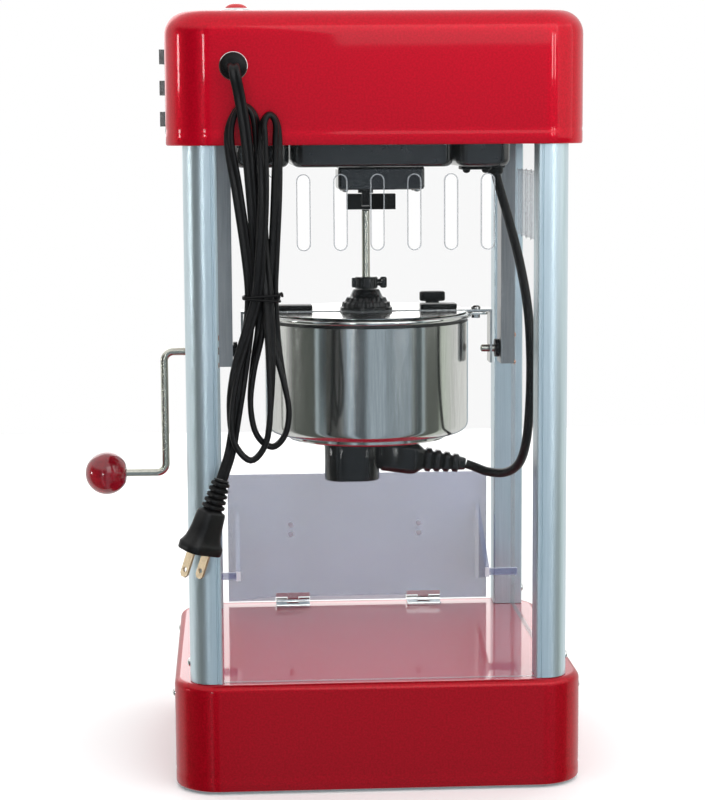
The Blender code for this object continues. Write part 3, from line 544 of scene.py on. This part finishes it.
def make_posts(finish):
    for end in ("front", "rear"):
        for side in ("left", "right"):
            node = f"post_{end}_{side}"
            low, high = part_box(node)
            sx, sy = (1 if side == "right" else -1), (1 if end == "rear" else -1)
            corner_x = low[0] if sx > 0 else high[0]
            corner_y = low[1] if sy > 0 else high[1]
            outline = post_outline(high[0] - low[0])
            rings = [[Vector((corner_x + sx * x, corner_y + sy * y, z)) for x, y in outline]
                     for z in (low[2], high[2])]
            add(f"{node}_extrusion", skin(rings), finish["aluminium"], "housing", (node,))
            screws = [placed(dome(2.6 * MM, 1.4 * MM), (sx * x, sy * y, z), (0, sx * math.pi / 2, 0))
                      for x, y, z in ((117, 100, 80), (126.8, 88, 58))]
            add(f"{node}_screws", joined(screws), finish["chrome"], "housing")


def make_walls(finish):
    """The clear walls as in the CAD, with their narrow faces in a darker edge finish."""
    for node, axis in (("rear_panel", 1), ("side_panel_left", 0), ("side_panel_right", 0)):
        mesh = bpy.data.objects[node].data.copy()
        mesh.materials.clear()
        mesh.materials.append(finish["clear"])
        mesh.materials.append(finish["edge"])
        for face in mesh.polygons:
            broad = abs(face.normal[axis]) > 0.9
            face.material_index = 0 if broad else 1
        add(f"{node}_sheet", mesh, finish["clear"], "housing", (node,))
        add(f"{node}_slot_rims", slot_rims(axis, *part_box(node)), finish["rim"], "housing")


def slot_rims(axis, low, high):
    """A low moulded rim round each vent slot, on both faces of the wall."""
    count, pitch, radius = 7, 22.3 * MM, 3.65 * MM
    rim, proud, gap = 0.6 * MM, 0.25 * MM, 0.05 * MM
    bottom, top = 335 * MM + radius, 380 * MM - radius
    rings = []
    for number in range(count):
        centre = (number - (count - 1) / 2) * pitch

        def loop(grow, depth):
            r = radius + grow
            flat = arc((centre, top), r, 0, 180, 12) + arc((centre, bottom), r, 180, 360, 12)
            return [Vector((depth, a, b) if axis == 0 else (a, depth, b)) for a, b in flat]

        for face, out in ((low[axis], -1), (high[axis], 1)):
            section = ((gap, 0), (gap, proud), (rim, proud), (rim, 0))
            rings.append(skin([loop(grow, face + out * rise) for grow, rise in section], closed=True))
    return joined(rings)


def make_door(finish):
    """The hopper door with light cut edges, and the rivets on its inner face."""
    inner_face, widest_edge = -108.5, 3.4 * MM
    mesh = bpy.data.objects["front_door"].data.copy()
    mesh.materials.clear()
    mesh.materials.append(finish["door"])
    mesh.materials.append(finish["door_edge"])
    for face in mesh.polygons:
        corners = [mesh.vertices[i].co for i in face.vertices]
        spans = sorted(max(point[axis] for point in corners) - min(point[axis] for point in corners)
                       for axis in range(3))
        face.material_index = 1 if spans[1] < widest_edge else 0
    add("hopper_door", mesh, finish["door"], "door", ("front_door",))
    heads = [placed(dome(2 * MM, 0.8 * MM, 16), (x, inner_face, z), (-math.pi / 2, 0, 0))
             for x in (-44, 48) for z in (120, 127)]
    add("door_rivets", joined(heads), finish["door_edge"], "door")


# Cords

CORD_WIDTH = 7 * MM
CORD_THICKNESS = 3.5 * MM
PLUG_TOP = Vector((95.8, 129, 198.8)) * MM

# (x, y, z, twist): the lead's middle line in mm, and its quarter turns away from lying flat towards the rear.
LEAD_ROUTE = [
    (85.7, 126.3, 444.7, 0), (85.6, 130.4, 444.2, 0), (85.2, 133.4, 441.6, 0), (84.2, 133.6, 436, 0),
    (82.3, 131.4, 426.5, 0), (78.6, 129.4, 402, 0), (75.7, 127.6, 366, 0), (73, 125.6, 330, 0),
    (70.5, 124.2, 308, 0), (71.6, 124.4, 288, 0.3), (76.2, 125, 264, 0.8), (78, 126, 243, 1),
    (74.6, 126.6, 225.6, 1), (65.3, 127, 218, 1), (57.4, 127, 225.4, 1), (55, 126.6, 240, 1),
    (58, 126, 258, 0.9), (62, 124.8, 279, 0.4), (64, 124.2, 308, 0), (63, 124.6, 332, 0),
    (61.2, 125.4, 366, 0.1), (60.2, 126.4, 400, 0.5), (60.9, 127.6, 411.4, 0.8), (64.6, 128.8, 416, 0.9),
    (68.3, 129.8, 411.4, 0.8), (68.9, 130.4, 400, 0.4), (69, 130.6, 366, 0), (71, 129.8, 332, 0),
    (73.6, 128.4, 308, 0), (79.6, 129, 287, 0), (87, 130.2, 262, 0.3), (89.9, 131, 239.5, 0.7),
    (87.8, 131.4, 221, 1), (78.4, 131.6, 210.6, 1), (69.6, 131.4, 219.6, 1), (66.4, 131, 238, 1),
    (65.6, 129.8, 269, 0.5), (66.8, 128.3, 308, 0), (69, 125.4, 336, 0), (70.4, 124.8, 370, 0),
    (71.4, 125, 400, 0.3), (74, 125.6, 415.5, 0.7), (79.8, 125.8, 421.2, 0.9), (85.8, 125.6, 415.8, 0.8),
    (88.8, 125.2, 401, 0.4), (84.4, 124.6, 372, 0), (79, 124.3, 332, 0), (77.2, 124.2, 308, 0),
    (79, 124.8, 287, 0), (83, 125.8, 259, 0), (87, 126.6, 235, 0), (90.4, 127.8, 215.5, 0),
    (94.2, 129, 203.6, 0), (95.7, 129, 199.1, 0),
]


def follow(knots, parts):
    """A smooth line through the knots and its twist at each point."""
    line = smooth([Vector(knot[:3]) * MM for knot in knots], parts)
    twist = smooth([Vector((knot[3], 0, 0)) for knot in knots], parts)
    return line, [turn.x * math.pi / 2 for turn in twist]


def twin_section():
    """Two round cores side by side, as (across, through) pairs."""
    radius = CORD_THICKNESS / 2
    offset = CORD_WIDTH / 2 - radius
    right = arc((offset, 0), radius, -145, 145, 9)
    return right + [(-x, -y) for x, y in right]


def make_mains_lead(finish):
    """The flat twin lead: across is the way its two cores lie side by side."""
    line, twists = follow(LEAD_ROUTE, 5)
    section = twin_section()
    near_gland = 16  # points of the line over which the cores keep lying along X
    rings = []
    across = Vector((1, 0, 0))
    for i, point in enumerate(line):
        ahead = line[min(i + 1, len(line) - 1)] - line[max(i - 1, 0)]
        ahead.normalize()
        if i < near_gland:
            side = Vector((1, 0, 0)) - ahead * ahead.x
        else:
            facing = Vector((0, 1, 0)) - ahead * ahead.y
            side = facing.normalized().cross(ahead)
            if side.dot(across) < -0.2:
                side = -side
        side.normalize()
        side.rotate(Matrix.Rotation(twists[i], 3, ahead))
        if side.dot(across) < 0:
            side = -side
        across = side
        through = ahead.cross(side)
        rings.append([point + side * x + through * y for x, y in section])
    lead = add("mains_cord", skin(rings), finish["rubber"], "housing",
               ("mains_lead", "mains_hank", "mains_tail"), sharp=60)
    length = sum((b - a).length for a, b in zip(line, line[1:]))
    return lead, line, length


HEATER_CORD = 6 * MM
KETTLE_CORD_ROUTE = [(-66, 0, 186.1), (-71.5, 1.4, 184.2), (-80, 8, 181.8), (-90, 19, 183), (-97, 33, 191),
                     (-100, 46, 208), (-101, 54, 234), (-101, 57, 262), (-99.5, 55, 292), (-95, 49, 322),
                     (-88, 42, 352), (-82, 38, 374), (-80.5, 37, 383.4)]


def sweep(line, radius, steps=14):
    """A round cord or rod along a line."""
    turns = [2 * math.pi * k / steps for k in range(steps)]
    rings = []
    side = Vector((1, 0, 0))
    for i, point in enumerate(line):
        ahead = (line[min(i + 1, len(line) - 1)] - line[max(i - 1, 0)]).normalized()
        side = side - ahead * side.dot(ahead)
        if side.length < 0.05:
            side = ahead.orthogonal()
        side.normalize()
        through = ahead.cross(side)
        rings.append([point + side * radius * math.cos(a) + through * radius * math.sin(a) for a in turns])
    return skin(rings)


def make_kettle_cord(finish):
    """The heater's cord, which stretches from the ceiling's bush to the kettle's connector."""
    line = smooth([Vector(knot) * MM for knot in KETTLE_CORD_ROUTE], 8)
    piece = bpy.data.objects.new("heater_cord", sweep(line, HEATER_CORD / 2))
    bpy.context.collection.objects.link(piece)
    piece.data.materials.append(finish["rubber"])
    piece.data.shade_smooth()
    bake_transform(piece)
    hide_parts("kettle_cord")
    return piece, line


def make_cords(finish):
    lead, line, length = make_mains_lead(finish)
    cord, route = make_kettle_cord(finish)


# Ceiling pan, gearbox and drive

def make_ceiling(finish):
    """The glossy pan in three pressed sections, with seams where the CAD has grooves."""
    low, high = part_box("ceiling_pan")
    seam, gap, rounding, corner = 51 * MM, 0.9 * MM, 4.5 * MM, 7 * MM
    depth = high[1] - low[1]
    sections = []
    for start, end in ((low[0], -seam - gap), (-seam + gap, seam - gap), (seam + gap, high[0])):
        middle = ((start + end) / 2, (low[1] + high[1]) / 2)
        width = end - start
        rings = [rounded(width - 2 * inset, depth - 2 * inset, corner - inset * 0.6, low[2] + drop, 8, middle)
                 for inset, drop in quarter(rounding, 6)]
        rings.append(rounded(width, depth, corner, high[2], 8, middle))
        sections.append(skin(rings))
    add("ceiling_cover", joined(sections), finish["gloss_black"], "housing", ("ceiling_pan",))

    plate = pillow(19 * MM, 22 * MM, 381.8 * MM, 383.9 * MM, 3 * MM, 0.5 * MM, (-66 * MM, 50 * MM))
    bosses = [placed(dome(2.4 * MM, 1.8 * MM), (x, 56, 381.8), (math.pi, 0, 0)) for x in (-60, -72)]
    add("ceiling_boss", joined([plate, *bosses]), finish["black"], "housing")
    heads = [placed(dome(2.2 * MM, 1.2 * MM), (x, y, 368.5), (math.pi, 0, 0))
             for x in (-33, 14) for y in (-17, 9)]
    add("gearbox_screws", joined(heads), finish["chrome"], "housing")
    bush = [(3.4, 378.5), (4.6, 378.7), (5.2, 380), (5.2, 382.4), (6.6, 382.8), (6.6, 383.8), (3.4, 383.8)]
    mesh = turned(in_mm(bush), 32, closed=True)
    mesh.transform(Matrix.Translation((-80.5 * MM, 37 * MM, 0)))
    add("cord_bush", mesh, finish["black"], "housing")


def toothed(profile, teeth, depth, steps):
    """A turned ring with flutes round it: each profile point is (radius, z, share of the flutes' depth)."""
    turns = [2 * math.pi * i / steps for i in range(steps)]
    rings = []
    for radius, z, share in profile:
        ring = []
        for angle in turns:
            wave = 0.5 + 0.5 * math.cos(teeth * angle)
            r = radius - depth * share * (1 - wave)
            ring.append(Vector((r * math.cos(angle), r * math.sin(angle), z)))
        rings.append(ring)
    return skin(rings, closed=True)


def make_hub(finish):
    low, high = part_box("hub_housing")
    bore, foot = 3.05 * MM, low[2]
    steps = [(17.2, 0, 0), (17.2, 1.6, 0), (16.2, 1.9, 0), (16.2, 2.2, 1), (15.6, 4.8, 1), (14.6, 5.1, 0),
             (13.9, 5.3, 1), (12.8, 7.8, 1), (11.6, 8.1, 0), (10.8, 8.4, 0), (9.6, 10.8, 0), (9, 12.2, 0)]
    profile = [(radius * MM, foot + rise * MM, share) for radius, rise, share in steps]
    profile = [(bore, foot, 0), *profile, (8.2 * MM, high[2], 0), (bore, high[2], 0)]
    add("hub_bearing", toothed(profile, 20, 1.1 * MM, 160), finish["hub"], "kettle", ("hub_housing",),
        sharp=50)
    low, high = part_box("hub_nut")
    profile = [(bore, high[2], 0), (17 * MM, high[2], 0), (17 * MM, low[2] + 1.6 * MM, 1),
               (15.6 * MM, low[2], 1), (bore, low[2], 0)]
    add("hub_ring_nut", toothed(profile, 12, 1 * MM, 96), finish["black"], "kettle", ("hub_nut",), sharp=50)


def make_drive(finish):
    low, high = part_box("agitator_shaft")
    r = 2.65 * MM
    profile = [(r - 0.4 * MM, low[2]), (r, low[2] + 0.6 * MM), (r, high[2] - 0.6 * MM),
               (r - 0.4 * MM, high[2])]
    add("agitator_spindle", turned(profile), finish["zinc"], "agitator", ("agitator_shaft",))
    low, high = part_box("clamp_collar")
    bore, outer, bevel = 2.95 * MM, 7.7 * MM, 0.7 * MM
    ring = [(bore, low[2]), (outer - bevel, low[2]), (outer, low[2] + bevel), (outer, high[2] - bevel),
            (outer - bevel, high[2]), (bore, high[2])]
    middle = (low[2] + high[2]) / 2 / MM
    stem = placed(turned([(2.1 * MM, 0), (2.6 * MM, 2.6 * MM)], 16), (-7.2, 0, middle), (0, -math.pi / 2, 0))
    wing = placed(pillow(7.4 * MM, 3.4 * MM, 0, 4.4 * MM, 1.6 * MM, 1.2 * MM), (-9.2, 0, middle),
                  (0, -math.pi / 2, 0))
    ears = placed(pillow(6.4 * MM, 5 * MM, 0, 3 * MM, 1.4 * MM, 0.5 * MM), (6.4, 0, middle),
                  (0, math.pi / 2, 0))
    add("shaft_collar", joined([turned(ring, closed=True), stem, wing, ears]), finish["hub"], "agitator",
        ("clamp_collar",))


# Kettle

KETTLE_RADIUS = 67 * MM
NECK_DEPTH = 0.5 * MM
NECK_DROP = 4.3 * MM


def kettle_profile(low, high):
    """From the bowl's floor up its inside, over the rolled rim, down the side and under."""
    wall, corner, bead = 1.2 * MM, 6.5 * MM, 1.6 * MM
    bend = quarter(corner, 10)
    inner = [(KETTLE_RADIUS - wall - inset, low + wall + drop) for inset, drop in bend]
    inner.append((KETTLE_RADIUS - wall, low + corner + 3 * MM))
    inner.append((KETTLE_RADIUS - wall, high - 3 * MM))
    rim = arc((KETTLE_RADIUS + 0.4 * MM, high - bead), bead, 165, -70, 14)
    neck = [(KETTLE_RADIUS - NECK_DEPTH, high - 3.4 * MM), (KETTLE_RADIUS - NECK_DEPTH, high - 5 * MM),
            (KETTLE_RADIUS, high - 5.3 * MM), (KETTLE_RADIUS, high - 6 * MM)]
    outer = [(KETTLE_RADIUS, low + corner + 1 * MM)] + [(KETTLE_RADIUS - inset, low + drop)
                                                        for inset, drop in reversed(bend)]
    return inner + rim + neck + outer + [(KETTLE_RADIUS - corner * 1.4, low)]


def make_kettle(finish):
    low, high = 210 * MM, 288 * MM
    bowl = turned(kettle_profile(low, high), 144)
    bowl.materials.append(finish["kettle"])
    bowl.materials.append(finish["seam"])
    # The faces round the neck under the rolled rim take the near-black steel: painted shade in that crease.
    reach = 0.9 * MM
    for face in bowl.polygons:
        in_neck = abs(face.center.z - (high - NECK_DROP)) < reach
        if in_neck and face.center.xy.length > KETTLE_RADIUS - reach:
            face.material_index = 1
    ears = [pillow(12 * MM, 18 * MM, high - 1.7 * MM, high - 0.1 * MM, 2 * MM, 0.3 * MM, (sx * 73.4 * MM, 0))
            for sx in (-1, 1)]
    add("kettle_bowl", bowl, finish["kettle"], "kettle", ("kettle_shell",), sharp=40)
    add("kettle_ears", joined(ears), finish["kettle"], "kettle")
    low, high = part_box("heater_cover")
    pan = [(40 * MM, low[2]), (50 * MM, low[2]), (52.2 * MM, low[2] + 0.5 * MM),
           (53 * MM, low[2] + 1.5 * MM), (53 * MM, high[2])]
    add("heater_pan", turned(pan, 96), finish["kettle"], "kettle", ("heater_cover",))

    rivets = []
    for sx in (-1, 1):
        rivets.append(placed(dome(3.2 * MM, 2 * MM), (sx * 72.5, 0, 289.8)))
        rivets.append(placed(turned([(2.8 * MM, 0), (2.8 * MM, 2.4 * MM)], 6), (sx * 72.5, 0, 283.6)))
    add("ear_screws", joined(rivets), finish["strip"], "kettle")
    clips = [pillow(24 * MM, 13 * MM, 289.9 * MM, 293.4 * MM, 2 * MM, 0.6 * MM, (sx * 47.5 * MM, 0))
             for sx in (-1, 1)]
    add("bridge_clips", joined(clips), finish["black"], "kettle")


def make_lids(finish):
    """Half-moon lids notched round the hub, and the grip on the front one."""
    notch = 22.5 * MM
    for end, sy in (("front", -1), ("rear", 1)):
        low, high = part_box(f"{end}_lid")
        edge = low[1] if sy > 0 else -high[1]
        rings = []
        for inset, z in ((0.3 * MM, low[2]), (0, low[2] + 0.4 * MM), (0, high[2] - 0.2 * MM),
                         (0.3 * MM, high[2])):
            radius = KETTLE_RADIUS - 0.5 * MM - inset
            outer = math.degrees(math.asin((edge + inset) / radius))
            inner = math.degrees(math.asin((edge + inset) / (notch + inset)))
            flat = arc((0, 0), radius, outer, 180 - outer, 60)
            flat += arc((0, 0), notch + inset, 180 - inner, inner, 16)
            rings.append([Vector((x, sy * y, z)) for x, y in flat])
        add(f"{end}_lid_plate", skin(rings), finish["kettle"], f"{end}_lid", (f"{end}_lid",))
    low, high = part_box("lid_handle")
    middle = flat_centre(low, high)
    wide, deep = high[0] - low[0], high[1] - low[1]
    bar = pillow(wide, deep, high[2] - 6.6 * MM, high[2], 2.4 * MM, 1.2 * MM, middle)
    stem = pillow(9 * MM, 5 * MM, low[2], high[2] - 6 * MM, 1.6 * MM, 0.3 * MM, middle)
    add("lid_grip", joined([bar, stem]), finish["black"], "front_lid", ("lid_handle",))


def make_pivots(finish):
    """Crank rod and knob, and the pins, washers and nuts of the tilt pivot."""
    z, drop, bend, out = 263.5, 80, 6, 133
    turn = arc((out - bend, z - bend), bend, 90, 0, 10)
    turn += arc((out + bend, z - drop + bend), bend, 180, 270, 10)
    path = [(76, z), *turn, (161, z - drop)]
    rod = sweep([Vector((x, 0, height)) * MM for x, height in path], 2.5 * MM, 24)
    add("crank_handle_rod", rod, finish["zinc"], "kettle", ("crank_rod",), sharp=60)
    radius, hole = 14 * MM, 2.8 * MM
    flat_from = 66
    face = -radius * math.sin(math.radians(flat_from))
    ball = arc((0, 0), radius, -flat_from, 90, 28)
    profile = [(hole, face + 1.5 * MM), (4.2 * MM, face + 0.3 * MM), (5.2 * MM, face), *ball[1:-1],
               (0.4 * MM, radius)]
    knob = placed(turned(profile, 72), (172, 0, z - drop), (0, math.pi / 2, 0))
    add("crank_ball", knob, finish["knob"], "kettle", ("crank_knob",), sharp=50)
    parts = []
    for sx in (-1, 1):
        outwards = (0, sx * math.pi / 2, 0)
        washer = turned(in_mm([(4.4, 0), (4.4, 0.8)]), 28)
        nut = turned(in_mm([(3.9, 0), (3.9, 2.6)]), 6)
        parts.append(placed(dome(2.4 * MM, 1 * MM), (sx * 76.9, 0, z), (0, -sx * math.pi / 2, 0)))
        parts.append(placed(washer, (sx * 91.6, 0, z), outwards))
        parts.append(placed(nut, (sx * 92.4, 0, z), outwards))
    add("pivot_fasteners", joined(parts), finish["zinc"], "kettle")
    clips = [placed(dome(1.7 * MM, 1.2 * MM, 14), (sx * 97, 5, z + height), (0, sx * math.pi / 2, 0))
             for sx in (-1, 1) for height in (-9, 9)]
    add("hanger_rivets", joined(clips), finish["copper"], "housing")


def section_loft(stations, corner):
    """Rounded oblong sections down -Z: each station is (drop, width, depth) in mm."""
    return skin([rounded(wide * MM, tall * MM, min(wide, tall) * corner * MM, -drop * MM, 8)
                 for drop, wide, tall in stations])


def ribbed(start, end, count, wide, tall, groove):
    """Stations of a strain relief between two drops: count ribs with grooves between them."""
    stations = []
    pitch = (end - start) / count
    for number in range(count):
        top = start + number * pitch
        share = number / max(count - 1, 1)
        w = wide[0] + (wide[1] - wide[0]) * share
        t = tall[0] + (tall[1] - tall[0]) * share
        stations += [(top + pitch * along, w - less, t - less) for along, less in
                     ((0, groove), (0.18, 0.3), (0.3, 0), (0.56, 0), (0.68, 0.3), (0.84, groove))]
    return stations


def make_heater_parts(finish):
    """The socket under the bowl, and the ribbed connector that the heater's cord ends in."""
    low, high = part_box("heater_socket")
    middle = flat_centre(low, high)
    block = pillow(high[0] - low[0], high[1] - low[1], low[2], high[2], 12 * MM, 0.8 * MM, middle)
    seam = [rounded(36.6 * MM, 30.6 * MM, 12.3 * MM, high[2] - drop, 8, middle) for drop in (6 * MM, 2 * MM)]
    add("heater_block", joined([block, skin(seam)]), finish["hub"], "kettle", ("heater_socket",))
    stations = [(-3.4, 17, 13.4), (0, 19, 15.4), (0.8, 21, 17), (20, 21.5, 17.4), (23, 20, 16),
                (27, 14.5, 12.5)]
    stations += ribbed(28.5, 53, 4, (15.5, 12), (13.5, 10.5), 3.2) + [(54, 8.4, 8.4), (56, 7.4, 7.4)]
    mesh = section_loft(stations, 0.3)
    seat = Matrix.Translation(Vector((-9.8, 0, 193.5)) * MM) @ Matrix.Rotation(math.radians(-7.5), 4, "Y")
    mesh.transform(seat @ Matrix.Rotation(math.pi / 2, 4, "Y"))
    return add("heater_plug", mesh, finish["hub"], "kettle", ("heater_connector",), sharp=45)


# Plug, gland and tie

def make_plug(finish):
    """The mains plug's body, with a ribbed neck. The CAD's blades stay as they are."""
    stations = [(0, 8.6, 6.6), (0.6, 9.2, 7.2)]
    stations += ribbed(1.2, 19, 5, (11, 13.4), (9, 11), 3)
    stations += [(19.6, 12.5, 10), (20.2, 15.8, 12), (21.2, 17, 12.8), (30, 18.6, 13.6), (34, 20, 14.2),
                 (38, 22.4, 15.4), (40.4, 25.4, 17), (41.4, 27, 18), (45.4, 27, 18), (46, 26.2, 17.4)]
    mesh = section_loft(stations, 0.36)
    seat = (Matrix.Translation(PLUG_TOP) @ Matrix.Rotation(math.radians(-18), 4, "Y")
            @ Matrix.Rotation(math.radians(222), 4, "Z"))
    mesh.transform(seat)
    return add("mains_plug", mesh, finish["rubber"], "housing", ("plug_body",), sharp=45)


def make_gland(finish):
    """A collared bush in the cap's rear face with a short flexible snout, and a thin chrome ring round it."""
    profile = [(5.2, 0), (8.1, 0.3), (8.1, 1.4), (7.6, 2.2), (6.9, 2.4), (6.9, 3.2), (6.5, 3.4), (6.5, 4.2),
               (6.1, 4.4), (6.1, 5.2), (5.4, 5.8), (4.6, 6)]
    mesh = turned(in_mm(profile), 40)
    ring = turned(in_mm([(7.9, 0.2), (8.6, 0.2), (8.5, 0.5), (8.2, 0.7)]), 40, closed=True)
    turn = Matrix.Translation(Vector((85.7, 120, 444.7)) * MM) @ Matrix.Rotation(-math.pi / 2, 4, "X")
    mesh.transform(turn)
    ring.transform(turn)
    add("lead_gland", mesh, finish["black"], "housing", ("cord_gland",))
    add("gland_ring", ring, finish["chrome"], "housing")


def make_tie(finish):
    """A twisted wire round the hank: two turns and a knot of its ends."""
    low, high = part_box("cord_tie")
    middle = flat_centre(low, high)
    loops = []
    for lift, tilt in ((-1.1, 0.9), (1.1, -0.8)):
        line = []
        for point in rounded(high[0] - low[0] - 1.5 * MM, high[1] - low[1] - 1.5 * MM, 4 * MM,
                             (low[2] + high[2]) / 2 + lift * MM, 10, middle):
            slope = (point.x - middle[0]) / (high[0] - low[0])
            line.append(point + Vector((0, 0, slope * tilt * 2 * MM)))
        loops.append(sweep(line + line[:1], 0.75 * MM, 8))
    ends = ((62.6, 135.4, 308.4), (60.6, 136.4, 309.4), (59, 135, 311), (58.4, 133, 309))
    knot = ((63.5, 134.6, 306.8), (61, 136, 307.4), (60.4, 134.4, 309.6), (62.4, 133.8, 309.8))
    for wire, radius in ((ends, 0.8 * MM), (knot, 0.9 * MM)):
        loops.append(sweep(smooth([Vector(point) * MM for point in wire], 4), radius, 8))
    return add("wire_tie", joined(loops), finish["black"], "housing", ("cord_tie",), sharp=60)


# Lamp and feet

def make_lamp(finish):
    """The pilot lamp on the cap: a chrome ring round a domed red lens."""
    bezel = [(4, 0.1), (10, 0.1), (10, 0.8), (9.5, 1.6), (8.6, 2.1), (7.7, 2.2), (7.3, 1.6), (7.2, 1.2),
             (4, 1.2)]
    lens = [(3.6, 1.3), (6.9, 1.4), (6.8, 2.6), (6.2, 3.6), (5, 4.5), (3.4, 5.1), (1.2, 5.4)]
    place = (83.5, 84, 478)
    add("lamp_bezel", placed(turned(in_mm(bezel), 64, closed=True), place), finish["chrome"], "housing",
        ("pilot_bezel",))
    add("lamp_lens", placed(turned(in_mm(lens), 64), place), finish["lens"], "housing", ("pilot_lens",))


def make_feet(finish):
    profile = [(6.3, 0), (7.4, 0.2), (8, 0.9), (8, 3)]
    for end in ("front", "rear"):
        for side in ("left", "right"):
            node = f"foot_{end}_{side}"
            x, y = flat_centre(*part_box(node))
            mesh = placed(turned(in_mm(profile), 40), (x / MM, y / MM, 0))
            add(f"{node}_pad", mesh, finish["foot"], "housing", (node,))


# Materials of the CAD nodes that stay as they are

PAINTED = {
    "aluminium": ["ceiling_plate", "bottom_plate"],
    "gloss_black": ["gearbox"],
    "rocker": ["rocker_1", "rocker_2", "rocker_3"],
    "black": ["drive_tongue", "drive_dog", "pivot_bush_left", "pivot_bush_right", "switch_frame"],
    "strip": ["kettle_bridge", "stirrer", "motor"],
    "zinc": ["pivot_pin"],
    "hanger": ["hanger_left", "hanger_right"],
    "chrome": ["door_hinge_left", "door_hinge_right", "door_leaf_left", "door_leaf_right"],
    "brass": ["plug_blade_left", "plug_blade_right"],
}


def paint_nodes(finish):
    for key, nodes in PAINTED.items():
        for node in nodes:
            mesh = bpy.data.objects[node].data
            mesh.materials.clear()
            mesh.materials.append(finish[key])


aim_camera()
set_studio()
finishes = make_materials()
paint_nodes(finishes)
plug, tie, connector = make_plug(finishes), make_tie(finishes), make_heater_parts(finishes)
make_cords(finishes)
make_covers(finishes)
make_posts(finishes)
make_walls(finishes)
make_door(finishes)
make_ceiling(finishes)
make_hub(finishes)
make_drive(finishes)
make_kettle(finishes)
make_lids(finishes)
make_pivots(finishes)
make_gland(finishes)
make_lamp(finishes)
make_feet(finishes)
